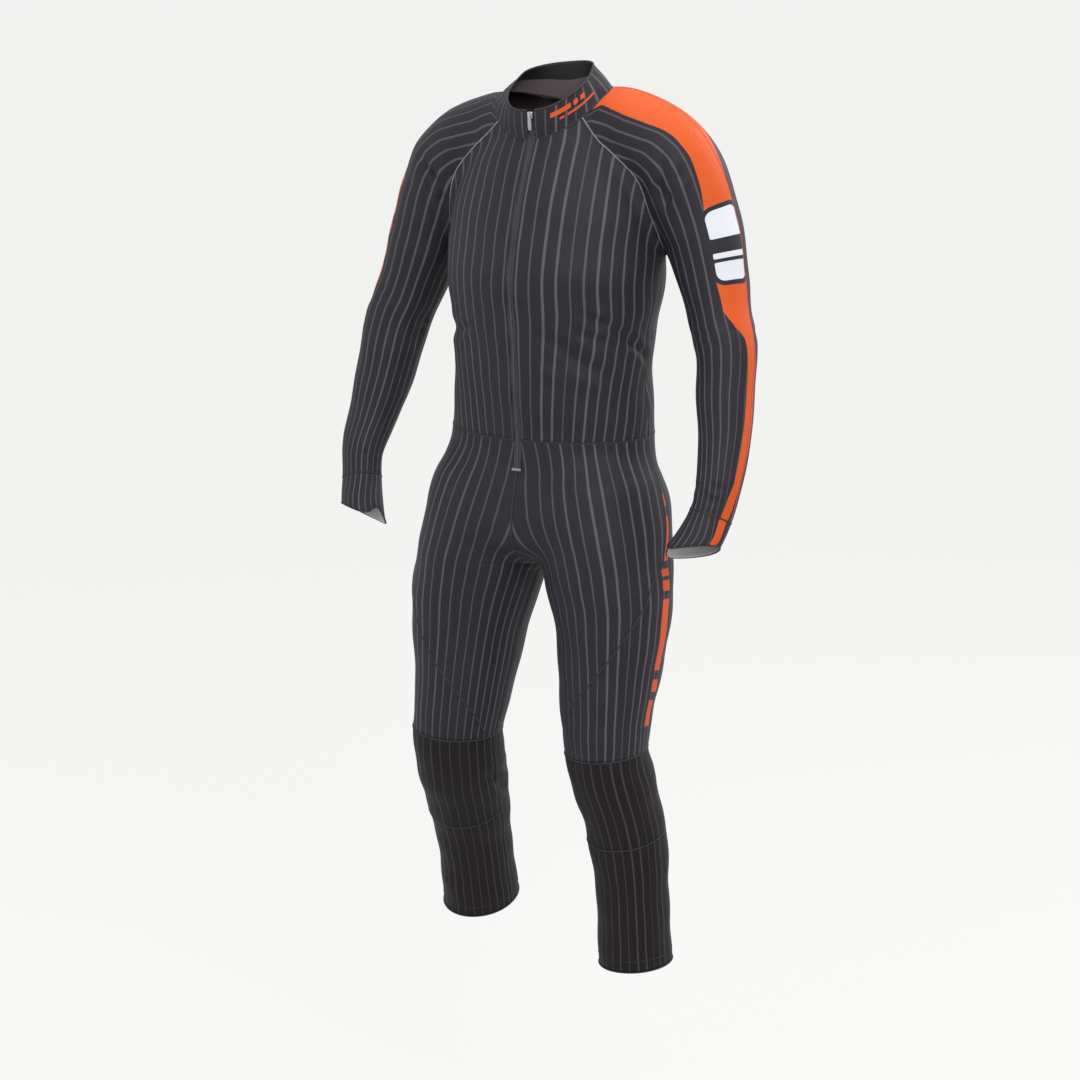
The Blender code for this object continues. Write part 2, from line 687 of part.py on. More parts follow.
        add_cloth("back", self.form, grid, "top", ALL_EDGES, self.cloth)

    def trunk_axis(self, heights):
        """Points inside the trunk at given heights."""
        table = np.array(TRUNK)
        depth = np.interp(-np.asarray(heights), -table[:, 2], table[:, 1])
        return np.stack([np.zeros(len(depth)), depth, heights], axis=-1)

    def side_seam(self, side, heights):
        """The side seam: the widest line of the trunk."""
        return self.form.cast(self.trunk_axis(heights), np.array([[float(side), 0.0, 0.0]]), "top")

    def zip_line(self, across, heights):
        """A line on the front at a distance from the middle."""
        origin = self.trunk_axis(heights)
        origin[:, 0] = across
        return self.form.cast(origin, np.array([[0.0, -1.0, 0.0]]), "whole")

    def leg(self, side):
        """One trouser half: front and back thigh, knee, shin and calf."""
        form = self.form
        tube = form.legs[side]
        rows = smooth_curve(SEAT, np.linspace(0, len(SEAT) - 1, 9))
        seat = dict(zip(SEAT_COLUMNS, rows.T))
        seat_rows = len(rows)
        crotch = form.cast(np.array([CROTCH_OVER]), np.array([[0.0, 0.0, -1.0]]), "hips")[0]
        crotch_row = tube.row_square_to(crotch, 0.8, 3.0, upright=True)
        thigh_places = np.concatenate(
            [crotch_row + np.array([0.0, 0.10, 0.24]), np.linspace(crotch_row + 0.45, KNEE_ROW, 11)]
        )
        centre, along = tube.place(thigh_places)
        along[:, 0] *= np.clip((thigh_places - crotch_row) / 2.0, 0.0, 1.0)
        along = unit(along)
        front, back = (self.seat_seam(seat, side, behind) for behind in (False, True))
        seat_height = (front[:, 2] + back[:, 2]) / 2
        seat_origin = np.stack([seat["origin_x"] * side, seat["origin_y"], seat_height], axis=-1)
        down = np.array([0.0, 0.0, -1.0])
        seat_along = unit(down + (along[0] - down) * seat["lean"][:, None])
        all_along = np.concatenate([seat_along, along])
        limb = Limb(np.concatenate([seat_origin, centre]), all_along, side)
        for row in range(seat_rows):
            limb.set_edge(row, front[row], last=False)
            limb.set_edge(row, back[row], last=True)
        limb.set_edge(seat_rows, crotch, last=False)
        limb.set_edge(seat_rows, crotch, last=True)
        above = np.linspace(THIGH_SEAM[0][0], 0, seat_rows, endpoint=False)
        seam_rows = np.concatenate([above, thigh_places - crotch_row])
        table = dict(zip(THIGH_SEAM_COLUMNS, np.array(THIGH_SEAM, dtype=float).T))
        spot = np.interp(seam_rows, table["row"], np.arange(len(THIGH_SEAM)))
        seam = smooth_curve(table["angle"][:, None], spot)[:, 0]
        name = side_name(side)
        front = limb.angles_between(limb.first_angle, seam, 9)
        back = limb.angles_between(seam, limb.last_angle, 15)
        for piece, angles in (("thigh_front", front), ("thigh_back", back)):
            grid = form.cast(limb.origin[:, None], limb.directions(angles), "hips")
            add_cloth(f"{piece}_{name}", form, grid, "hips", ALL_EDGES, self.cloth)
        knee_places = np.linspace(KNEE_ROW, SHIN_ROW, 10)
        shin_places = np.linspace(SHIN_ROW, HEM_ROW, 9)
        calf_places = np.concatenate([knee_places, shin_places[1:]])
        inner, outer = SHANK_SEAMS
        for piece, places, ends, columns, edges in (
            ("knee", knee_places, (inner, outer), 8, ALL_EDGES),
            ("shin", shin_places, (inner, outer), 8, EDGES_ABOVE_HEM),
            ("calf", calf_places, (outer, inner + 360), 8, EDGES_ABOVE_HEM),
        ):
            centre, along = tube.place(places)
            shank = Limb(centre, along, side)
            angles = shank.angles_between(ends[0], ends[1], columns)
            grid = form.cast(shank.origin[:, None], shank.directions(angles), "hips")
            add_cloth(f"{piece}_{name}", form, grid, "hips", edges, self.dark)

    def seat_seam(self, seat, side, behind):
        """The middle seam of the trousers, in front or behind, beside the zip at its top."""
        hub = self.trunk_axis(seat["seam_z"])
        if not behind:
            hub[:, 0] = np.where(seat["seam_z"] > ZIP_FOOT - 0.001, ZIP_HALF * side, 0.0)
        drop = np.radians(seat["drop"])
        way = 1.0 if behind else -1.0
        ray = np.stack([np.zeros(len(drop)), way * np.cos(drop), -np.sin(drop)], axis=-1)
        return self.form.cast(hub, ray, "hips")

    def collar(self):
        """The stand-up band, from one side of the zip round to the other."""
        angles = np.concatenate([[COLLAR_END], np.linspace(14, 346, 23), [360 - COLLAR_END]])
        signed = np.where(angles > 180, angles - 360, angles)
        seam = neck_seam(self.form, signed)
        rim = collar_points(signed, 1.0)
        axis = np.array([0.0, 0.0, -0.02])
        rows = []
        for part in np.linspace(0, 1, 4):
            bulge = 0.0015 * math.sin(math.pi * part)
            line = seam + (rim - seam) * part
            rows.append(line + bulge * unit(line - axis))
        outer = np.stack(rows)
        across = np.gradient(outer, axis=1)
        down = np.gradient(outer, axis=0)
        normal = unit(np.cross(across, down))
        if (normal * (outer - axis)).sum() < 0:
            normal = -normal
        outer[0] += (SEAM_GAP / 2) * unit(outer[1] - outer[0])
        inner = outer - normal * WALL
        add_object("collar", wall_mesh("collar", outer, inner), self.cloth)

    def strip(self, name, left, right, heights, thick, out, finish):
        """A narrow strip down the front between two distances from the middle."""
        lines = [self.zip_front(across, heights) for across in (left, right)]
        grid = np.stack(lines, axis=1)
        normal = np.array([0.0, -1.0, 0.0])
        outer = grid + normal * out
        inner = outer - normal * thick
        add_object(name, wall_mesh(name, outer, inner), finish)

    def zip_front(self, across, heights):
        """The front line, carried on up the collar to its rim."""
        on_body = heights < COLLAR_FOOT
        points = np.zeros((len(heights), 3))
        points[on_body] = self.zip_line(across, heights[on_body])
        seam = neck_seam(self.form, [0.0])[0]
        rim = collar_points(np.array([0.0]), 1.0)[0]
        share = ((heights[~on_body] - seam[2]) / (rim[2] - seam[2]))[:, None]
        points[~on_body] = seam + (rim - seam) * share
        points[:, 0] = across
        return points

    def zip(self):
        """Tapes, closed chain, slider, pull tab and the bar tack at the foot."""
        on_collar = np.linspace(ZIP_TOP, COLLAR_FOOT, 4)
        on_body = np.linspace(COLLAR_FOOT - 0.014, ZIP_FOOT, 26)
        heights = np.concatenate([on_collar, on_body])
        clear = SEAM_GAP
        inner_edge = CHAIN_HALF + clear
        outer_edge = ZIP_HALF - clear
        for name, left, right, thick, out in (
            ("zip_chain", -CHAIN_HALF, CHAIN_HALF, CHAIN_THICK, 0.0),
            ("zip_tape_left", inner_edge, outer_edge, TAPE_THICK, -TAPE_BELOW_CHAIN),
            ("zip_tape_right", -outer_edge, -inner_edge, TAPE_THICK, -TAPE_BELOW_CHAIN),
        ):
            self.strip(name, left, right, heights, thick, out, self.zip_black)
        slider_size = (SLIDER_WIDTH, SLIDER_LENGTH, SLIDER_THICK)
        self.block("zip_slider", SLIDER_HEIGHT, slider_size, clear, self.silver)
        pull_out = clear + SLIDER_THICK + PULL_GAP
        pull_height = SLIDER_HEIGHT - PULL_LENGTH / 2 + PULL_ABOVE_SLIDER_MIDDLE
        pull_size = (PULL_WIDTH, PULL_LENGTH, PULL_THICK)
        self.block("zip_pull", pull_height, pull_size, pull_out, self.silver)
        self.block("zip_stop", ZIP_FOOT - STOP_BELOW_ZIP, STOP_SIZE, clear, self.cloth)

    def block(self, name, height, size, out, finish):
        """A small plate on the front line, lying along it."""
        width, length, thick = size
        ends = np.array([height + length / 2, height, height - length / 2])
        line = self.zip_front(0.0, ends)
        along = unit(line[0] - line[2])
        normal = np.cross(np.array([1.0, 0.0, 0.0]), along)
        if normal[1] > 0:
            normal = -normal
        across = np.array([1.0, 0.0, 0.0])
        mesh = bpy.data.meshes.new(name)
        shape = bmesh.new()
        bmesh.ops.create_cube(shape, size=1.0)
        for vertex in shape.verts:
            x, y, z = vertex.co
            spot = line[1] + across * x * width + along * y * length
            vertex.co = spot + normal * (out + (z + 0.5) * thick)
        if shape.calc_volume(signed=True) < 0:
            bmesh.ops.reverse_faces(shape, faces=shape.faces)
        shape.to_mesh(mesh)
        shape.free()
        add_object(name, mesh, finish)


def clear_scene():
    for found in list(bpy.data.objects):
        bpy.data.objects.remove(found)


def main():
    clear_scene()
    collection = bpy.data.collections.new(COLLECTION)
    bpy.context.scene.collection.children.link(collection)
    suit = Suit()
    suit.bodice()
    suit.collar()
    for side in (1, -1):
        suit.sleeve(side)
        suit.leg(side)
    suit.zip()


main()
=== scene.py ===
"""Looks of the ski race suit: cloth shells, seams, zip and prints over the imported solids.

Each cut piece is worked out as a grid of points on one soft form, refined to a few millimetres,
pressed in by its folds and given a thin wall. UV coordinates run in metres round and along each
limb, so that the woven stripes keep their real pitch and turn with the cut.
"""

import logging
import math
from dataclasses import dataclass, field
from enum import Enum

import bpy
import numpy as np
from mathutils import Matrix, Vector


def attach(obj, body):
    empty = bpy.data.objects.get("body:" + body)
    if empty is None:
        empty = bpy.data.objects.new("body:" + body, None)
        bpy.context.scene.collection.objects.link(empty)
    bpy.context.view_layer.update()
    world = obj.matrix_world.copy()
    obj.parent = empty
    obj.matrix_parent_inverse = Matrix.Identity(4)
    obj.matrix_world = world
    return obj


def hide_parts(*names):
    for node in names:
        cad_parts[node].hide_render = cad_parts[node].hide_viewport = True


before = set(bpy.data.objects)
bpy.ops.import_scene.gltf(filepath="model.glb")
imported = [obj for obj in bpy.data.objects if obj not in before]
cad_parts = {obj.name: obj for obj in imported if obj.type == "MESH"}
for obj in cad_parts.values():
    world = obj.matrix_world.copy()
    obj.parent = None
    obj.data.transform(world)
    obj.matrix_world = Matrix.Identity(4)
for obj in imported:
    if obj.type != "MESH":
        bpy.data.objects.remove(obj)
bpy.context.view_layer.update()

LOG = logging.getLogger("race_suit")

# Wall of the look's cloth and size of its cells, in metres, and the fewest cells across a piece
WALL = 0.0013
FINE_STEP = 0.0042
LEAST_CELLS = 4

# Smallest divisors
SMALL = 1e-9
SLIVER = 1e-12

# Blend radii of the form, and how far the rounded ends of its tubes reach
TRUNK_BLEND = 0.030
CROTCH_BLEND = 0.022
TRUNK_CAP = 0.055
ARM_CAP = 0.045
LEG_CAP = 0.09
FINE_PER_ROW = 5
SEARCH_PLACES = 200

# Zip: half the gap between the fronts, its foot, and how far the bar tack lies below it
ZIP_HALF = 0.0062
ZIP_FOOT = -0.5345
STOP_BELOW_ZIP = 0.0015

# Height of the waist seam, and places over the underarm's and the crotch's meeting points
WAIST_HEIGHT = -0.492
UNDERARM_OVER = {1: (0.172, 0.030, -0.140), -1: (-0.173, 0.030, -0.140)}
CROTCH_OVER = (0.0, -0.022, -0.600)

# Soft tubes of the form, from the top down. Half sizes are outward and forward of the axis, and
# the turn, in degrees, carries the outward one towards the back.
TUBE_COLUMNS = ("x", "y", "z", "half_out", "half_front", "turn")
TRUNK = (
    (0.000, 0.012, -0.055, 0.098, 0.082, 0),
    (0.000, 0.009, -0.100, 0.138, 0.103, 0),
    (0.000, 0.008, -0.150, 0.158, 0.124, 0),
    (0.000, 0.008, -0.200, 0.165, 0.139, 0),
    (0.000, 0.007, -0.264, 0.167, 0.149, 0),
    (0.000, 0.002, -0.333, 0.156, 0.136, 0),
    (0.000, -0.003, -0.400, 0.154, 0.124, 0),
    (0.000, -0.001, -0.470, 0.159, 0.118, 0),
    (0.000, -0.006, -0.534, 0.165, 0.111, 0),
    (0.000, -0.013, -0.590, 0.184, 0.117, 0),
    (0.000, -0.020, -0.640, 0.193, 0.120, 0),
)
ARM = (
    (0.050, 0.025, -0.036, 0.045, 0.055, 0),
    (0.100, 0.028, -0.042, 0.054, 0.064, 0),
    (0.148, 0.031, -0.065, 0.060, 0.068, 0),
    (0.183, 0.032, -0.094, 0.063, 0.070, 0),
    (0.206, 0.034, -0.134, 0.061, 0.067, 0),
    (0.225, 0.036, -0.180, 0.058, 0.064, 0),
    (0.241, 0.034, -0.235, 0.055, 0.060, 10),
    (0.260, 0.026, -0.300, 0.047, 0.055, 20),
    (0.277, 0.015, -0.350, 0.045, 0.053, 20),
    (0.286, -0.006, -0.420, 0.043, 0.048, 20),
    (0.295, -0.026, -0.480, 0.039, 0.040, 20),
    (0.301, -0.056, -0.540, 0.034, 0.031, 25),
    (0.295, -0.070, -0.585, 0.032, 0.030, 30),
    (0.282, -0.092, -0.625, 0.034, 0.031, 30),
    (0.257, -0.123, -0.668, 0.034, 0.031, 30),
)
THIGH = (
    (0.090, -0.016, -0.600, 0.095, 0.112, 0),
    (0.104, -0.026, -0.680, 0.096, 0.112, 5),
    (0.116, -0.034, -0.740, 0.092, 0.103, 12),
    (0.121, -0.042, -0.790, 0.084, 0.095, 20),
    (0.122, -0.053, -0.850, 0.077, 0.085, 20),
    (0.123, -0.064, -0.900, 0.070, 0.077, 20),
)
LEFT_SHANK = (
    (0.127, -0.071, -0.960, 0.063, 0.072, 20),
    (0.131, -0.057, -1.010, 0.063, 0.069, 20),
    (0.136, -0.038, -1.060, 0.060, 0.067, 20),
    (0.141, -0.024, -1.120, 0.060, 0.064, 10),
    (0.145, -0.018, -1.190, 0.055, 0.060, 10),
    (0.149, -0.014, -1.306, 0.056, 0.063, 10),
)
RIGHT_SHANK = (
    (0.128, -0.072, -0.958, 0.065, 0.072, 20),
    (0.132, -0.058, -1.007, 0.063, 0.071, 20),
    (0.140, -0.028, -1.055, 0.061, 0.069, 20),
    (0.149, 0.004, -1.112, 0.059, 0.065, 15),
    (0.155, 0.030, -1.175, 0.055, 0.061, 10),
    (0.162, 0.062, -1.272, 0.057, 0.064, 10),
)

# The shoulders and the collar lean to the right: a rise in height for each metre to the left,
# and a rise of the left neck slope that fades out over the shoulder.
SHOULDER_LEAN = 0.045
NECK_RISE = 0.008
NECK_RISE_ENDS = 0.180
COLLAR_LEAN = 0.110
LEAN_FROM_HEIGHT = -0.300
LEAN_FULL_ABOVE = 0.200

# Collar: the seam on the body and the rim, by angle from the front round to the back.
COLLAR_COLUMNS = ("angle", "seam_radius", "seam_z", "rim_radius", "rim_z")
COLLAR = (
    (0, 0.0785, -0.049, 0.0750, -0.009),
    (22, 0.0800, -0.045, 0.0765, -0.006),
    (52, 0.0890, -0.026, 0.0700, 0.011),
    (80, 0.0920, 0.000, 0.0625, 0.028),
    (105, 0.0940, 0.017, 0.0580, 0.043),
    (140, 0.0860, 0.021, 0.0560, 0.049),
    (180, 0.0760, 0.014, 0.0550, 0.050),
)

# Raglan seams from the collar to the underarm, seen from the front and from the back.
RAGLAN_COLUMNS = ("front_x", "front_z", "back_x", "back_z")
RAGLAN = (
    (0.0900, -0.050, 0.0760, -0.022),
    (0.1220, -0.078, 0.1080, -0.062),
    (0.1490, -0.107, 0.1340, -0.105),
    (0.1620, -0.142, 0.1450, -0.145),
    (0.1700, -0.176, 0.1580, -0.180),
    (0.1740, -0.205, 0.1670, -0.207),
)
RAGLAN_AT_COLLAR = (60.0, 138.0)
OVERARM_AT_COLLAR = 98.0
RAGLAN_CAST_FROM = 0.025
RAGLAN_DROP = {1: 0.0, -1: 0.0115}
SLEEVE_TOP_FROM = (0.020, 0.012, -0.045)

# Angles from the middle where the zip meets the collar: the bodice's edge and the collar's end
ZIP_AT_NECK = 4.6
COLLAR_END = 5.2
COLLAR_FOOT = -0.046
SPINE_TOP = 0.010

# Rows of each trouser half from the waist to the crotch. The drop, in degrees, carries the row's
# ends round under the body, and the lean turns the row square to the leg.
SEAT_COLUMNS = ("origin_x", "origin_y", "seam_z", "drop", "lean")
SEAT = (
    (0.000, -0.001, -0.4920, 0, 0.0),
    (0.018, -0.004, -0.5345, 0, 0.0),
    (0.045, -0.008, -0.5850, 0, 0.1),
    (0.078, -0.014, -0.6350, 8, 0.4),
    (0.100, -0.026, -0.6450, 42, 0.8),
)

# Places along the limbs, counted in rows of their tubes' tables
ELBOW_ROWS = (7.0, 9.0)
WRIST_ROW = 12.0
CUFF_END_ROW = 13.75
KNEE_ROW = 6.0
SHIN_ROW = 8.7
HEM_ROW = 11.0
UNDERARM_BETWEEN = (4.0, 8.0)
CROTCH_BETWEEN = (0.8, 3.0)
SHOULDER_ROW = 1.0
OPEN_ENDS_BEFORE = 0.25
ARMPIT_STEPS = (0.0, 0.12, 0.30)
CROTCH_STEPS = (0.0, 0.10, 0.24)
THIGH_FROM = 0.45
LEG_TURNS_OVER = 2.0
LIMB_MIDDLES = {"sleeve": 7.0, "cuff": 13.0, "thigh": 3.0, "knee": 7.3, "shin": 10.0, "calf": 8.5}
BODY_MIDDLES = {"collar": (0.0, 0.0, 0.0), "back": (0.0, 0.0, -0.25), "front": (0.0, 0.0, -0.25)}

# Heights of the bodice's rows: just below the underarm, then at the ribs, then at the waist
BELOW_UNDERARM = (0.005, 0.014, 0.028)
RIB_HEIGHTS = (-0.310, -0.400, 10)
WAIST_FROM = -0.418
WAIST_ROWS = 5

# Points across each piece, and angles of a limb's edges from its front, in degrees
OVERARM = 90.0
INNER_EDGE = -90.0
SLEEVE_COLUMNS = 13
CUFF_COLUMNS = 41
FRONT_COLUMNS = 15
BACK_COLUMNS = 13
THIGH_COLUMNS = (15, 25)
SHANK_COLUMNS = 13
NECK_CENTRE = (0.0, 0.0, -0.070)
COLLAR_AXIS = (0.0, 0.0, -0.02)
COLLAR_PUFF = 0.0015
COLLAR_SIDES = (14, 346, 23)

# The cuff's mouth is cut back most at its outer side, and in a notch for the thumb
CUFF_SLANT = 0.062
THUMB_NOTCH = 0.022
THUMB_ANGLE = -82.0
THUMB_SPREAD = 26.0

# The front thigh seam's angle, from the side at the waist to the inner knee
THIGH_SEAM_COLUMNS = ("row", "angle")
THIGH_SEAM = ((-5, 90), (-3, 90), (-1.5, 84), (0, 68), (1.5, 42), (3, 5), (3.7, -22), (4.6, -72))
SHANK_SEAMS = (-88.0, 95.0)

# Largest folds: a soft trough between two places, in metres of depth and half width
FOLD_COLUMNS = ("x1", "y1", "z1", "x2", "y2", "z2", "depth", "width")
FOLDS = (
    (0.050, -0.130, -0.335, 0.135, -0.075, -0.400, 0.0050, 0.009),
    (0.040, -0.132, -0.360, 0.085, -0.110, -0.385, 0.0030, 0.008),
    (-0.150, -0.020, -0.350, -0.120, -0.085, -0.335, 0.0030, 0.008),
    (0.200, -0.040, -0.100, 0.178, -0.055, -0.190, 0.0060, 0.010),
    (-0.200, -0.040, -0.100, -0.178, -0.055, -0.200, 0.0060, 0.010),
    (0.225, 0.020, -0.322, 0.285, -0.025, -0.345, 0.0050, 0.008),
    (-0.310, 0.000, -0.318, -0.232, 0.005, -0.350, 0.0060, 0.009),
    (-0.315, 0.000, -0.345, -0.240, 0.000, -0.375, 0.0050, 0.008),
    (0.130, 0.020, -0.965, 0.078, 0.000, -0.985, 0.0055, 0.010),
    (-0.130, 0.020, -0.965, -0.076, 0.000, -0.990, 0.0055, 0.010),
)

# Ray casting: outward steps as a share of the distance left, then halvings of the last step
MARCH_STEPS = 26
MARCH_SHARE = 0.75
MARCH_LEAST = 0.0012
HALVINGS = 13


def smooth_curve(table: tuple, places: np.ndarray) -> np.ndarray:
    """Rows of a table at places between its rows, along a Catmull-Rom curve.

    Args:
        table: Rows of numbers.
        places: Places, counted in rows.

    Returns:
        One row for each place.
    """
    rows = np.asarray(table, dtype=float)
    last = len(rows) - 1
    places = np.clip(np.asarray(places, dtype=float), 0.0, last)
    base = np.minimum(places.astype(int), last - 1)
    part = (places - base)[:, None]
    first, second = rows[base], rows[base + 1]
    has_before = (base > 0)[:, None]
    has_after = (base + 2 <= last)[:, None]
    before = np.where(has_before, rows[np.maximum(base - 1, 0)], 2 * first - second)
    after = np.where(has_after, rows[np.minimum(base + 2, last)], 2 * second - first)
    slope = (second - before) / 2
    next_slope = (after - first) / 2
    square, cube = part**2, part**3
    return (
        (2 * cube - 3 * square + 1) * first
        + (cube - 2 * square + part) * slope
        + (3 * square - 2 * cube) * second
        + (cube - square) * next_slope
    )


def unit(vectors: np.ndarray) -> np.ndarray:
    """Each vector divided by its length."""
    return vectors / np.maximum(np.linalg.norm(vectors, axis=-1, keepdims=True), SLIVER)


def limb_frames(along: np.ndarray, side: float) -> tuple:
    """Forward and outward directions, square to each direction along a limb.

    Args:
        along: Directions along the limb.
        side: 1 for the left limb, -1 for the right one.

    Returns:
        The forward and the outward directions.
    """
    forward = unit(np.array([0.0, -1.0, 0.0]) + along * along[:, 1:2])
    outward = np.cross(forward, along) * side
    return forward, outward


class Tube:
    """A soft tube: elliptical sections along a smooth line, rounded past its ends."""

    def __init__(self, table: tuple, side: float, cap: float, lean: float = 0.0) -> None:
        """Smooths the table into a fine line of sections.

        Args:
            table: Rows of centre, half axes and turn.
            side: 1 for the left side, -1 for the right one.
            cap: How far the rounded ends reach.
            lean: How much the shoulders rise to the left.
        """
        self.rows = np.array(table, dtype=float)
        self.rows[:, 0] *= side
        if lean:
            upper = np.clip((self.rows[:, 2] - LEAN_FROM_HEIGHT) / LEAN_FULL_ABOVE, 0.0, 1.0)
            near_neck = np.clip(1.0 - np.abs(self.rows[:, 0]) / NECK_RISE_ENDS, 0.0, 1.0)
            self.rows[:, 2] += upper * (lean * self.rows[:, 0] + side * NECK_RISE * near_neck)
        self.cap = cap
        last = len(self.rows) - 1
        self.line = smooth_curve(self.rows, np.linspace(0, last, last * FINE_PER_ROW + 1))
        self.start = self.line[:-1, :3]
        self.step = np.diff(self.line[:, :3], axis=0)
        self.step_square = (self.step**2).sum(1)
        self.along = unit(self.step)
        self.forward, self.outward = limb_frames(self.along, side)

    def distance(self, points: np.ndarray) -> np.ndarray:
        """About how far each point lies outside the tube, negative inside.

        Args:
            points: Places in space.

        Returns:
            The distance of each, from the ratio to its own ellipse.
        """
        offset = points[:, None, :] - self.start[None]
        part = np.clip((offset * self.step).sum(2) / self.step_square, 0.0, 1.0)
        gap = ((offset - part[..., None] * self.step) ** 2).sum(2)
        pick = gap.argmin(1)
        index = np.arange(len(points))
        part = part[index, pick]
        section = self.line[pick] + part[:, None] * (self.line[pick + 1] - self.line[pick])
        away = points - section[:, :3]
        named = dict(zip(TUBE_COLUMNS, section.T))
        turn = np.radians(named["turn"])
        forward, outward = self.forward[pick], self.outward[pick]
        out = (away * outward).sum(1) * np.cos(turn) - (away * forward).sum(1) * np.sin(turn)
        front = (away * forward).sum(1) * np.cos(turn) + (away * outward).sum(1) * np.sin(turn)
        past = (away * self.along[pick]).sum(1)
        out, front = out / named["half_out"], front / named["half_front"]
        ratio = np.maximum(np.sqrt(out**2 + front**2 + (past / self.cap) ** 2), SMALL)
        return np.linalg.norm(away, axis=1) * (1 - 1 / ratio) - SLIVER

    def place(self, rows: np.ndarray) -> tuple:
        """Centre points and directions along the tube at places counted in table rows.

        Args:
            rows: Places along the tube.

        Returns:
            Centres and unit directions.
        """
        rows = np.asarray(rows, dtype=float)
        centre = smooth_curve(self.rows, rows)[:, :3]
        small = 0.01
        last = len(self.rows) - 1
        ahead = smooth_curve(self.rows, np.minimum(rows + small, last))[:, :3]
        behind = smooth_curve(self.rows, np.maximum(rows - small, 0))[:, :3]
        return centre, unit(ahead - behind)

    def row_square_to(self, point: np.ndarray, between: tuple, upright: bool = False) -> float:
        """The place along the tube, between two rows, whose section passes through a point.

        Args:
            point: The point.
            between: First and last row to look at.
            upright: Whether sections stay square to the middle plane.

        Returns:
            The place, in rows.
        """
        rows = np.linspace(*between, SEARCH_PLACES)
        centre, along = self.place(rows)
        if upright:
            along[:, 0] = 0.0
            along = unit(along)
        past = ((point - centre) * along).sum(1)
        return float(np.interp(0.0, past[::-1], rows[::-1]))


class Form:
    """The suit's whole smooth form, as tubes blended one after another."""

    def __init__(self) -> None:
        """Makes the trunk, both arms and both legs."""
        self.trunk = Tube(TRUNK, 1.0, TRUNK_CAP)
        self.arms = {side: Tube(ARM, side, ARM_CAP, SHOULDER_LEAN) for side in (1, -1)}
        shanks = ((1, LEFT_SHANK), (-1, RIGHT_SHANK))
        self.legs = {side: Tube(THIGH + shank, side, LEG_CAP) for side, shank in shanks}

    def distance(self, points: np.ndarray, zone: str) -> np.ndarray:
        """Signed distance, with only the tubes that matter in the zone.

        Args:
            points: Places in space.
            zone: top, hips or whole.

        Returns:
            Distance of each point, negative inside.
        """
        total = self.trunk.distance(points)
        if zone in ("top", "whole"):
            for arm in self.arms.values():
                total = smooth_min(total, arm.distance(points), TRUNK_BLEND)
        if zone in ("hips", "whole"):
            for leg in self.legs.values():
                total = smooth_min(total, leg.distance(points), CROTCH_BLEND)
        return total

    def cast(self, origin: np.ndarray, direction: np.ndarray, zone: str) -> np.ndarray:
        """Where rays from inside leave the form: march outwards, then halve the last step.

        Args:
            origin: Start points.
            direction: Directions.
            zone: top, hips or whole.

        Returns:
            Points on the form.
        """
        shape = np.broadcast_shapes(origin.shape, direction.shape)
        origin = np.broadcast_to(origin, shape).reshape(-1, 3)
        direction = unit(np.broadcast_to(direction, shape).reshape(-1, 3))
        low = np.zeros(len(origin))
        high = np.zeros(len(origin))
        inside = np.ones(len(origin), dtype=bool)
        for _ in range(MARCH_STEPS):
            depth = self.distance(origin[inside] + high[inside, None] * direction[inside], zone)
            still = depth < 0
            where = np.flatnonzero(inside)
            low[where[still]] = high[where[still]]
            high[where[still]] += np.maximum(-MARCH_SHARE * depth[still], MARCH_LEAST)
            inside[where[~still]] = False
            if not inside.any():
                break
        for _ in range(HALVINGS):
            middle = (low + high) / 2
            outside = self.distance(origin + middle[:, None] * direction, zone) >= 0
            high = np.where(outside, middle, high)
            low = np.where(outside, low, middle)
        return (origin + high[:, None] * direction).reshape(shape)


def smooth_min(first: np.ndarray, second: np.ndarray, radius: float) -> np.ndarray:
    """The smaller of two distances, rounded where they are closer than the radius.

    Args:
        first: One distance.
        second: The other.
        radius: Reach of the rounding.

    Returns:
        The blended distance.
    """
    near = np.maximum(radius - np.abs(first - second), 0.0) / radius
    return np.minimum(first, second) - near**2 * radius / 4


def side_name(side: int) -> str:
    """The wearer's side, as names have it."""
    return "left" if side > 0 else "right"


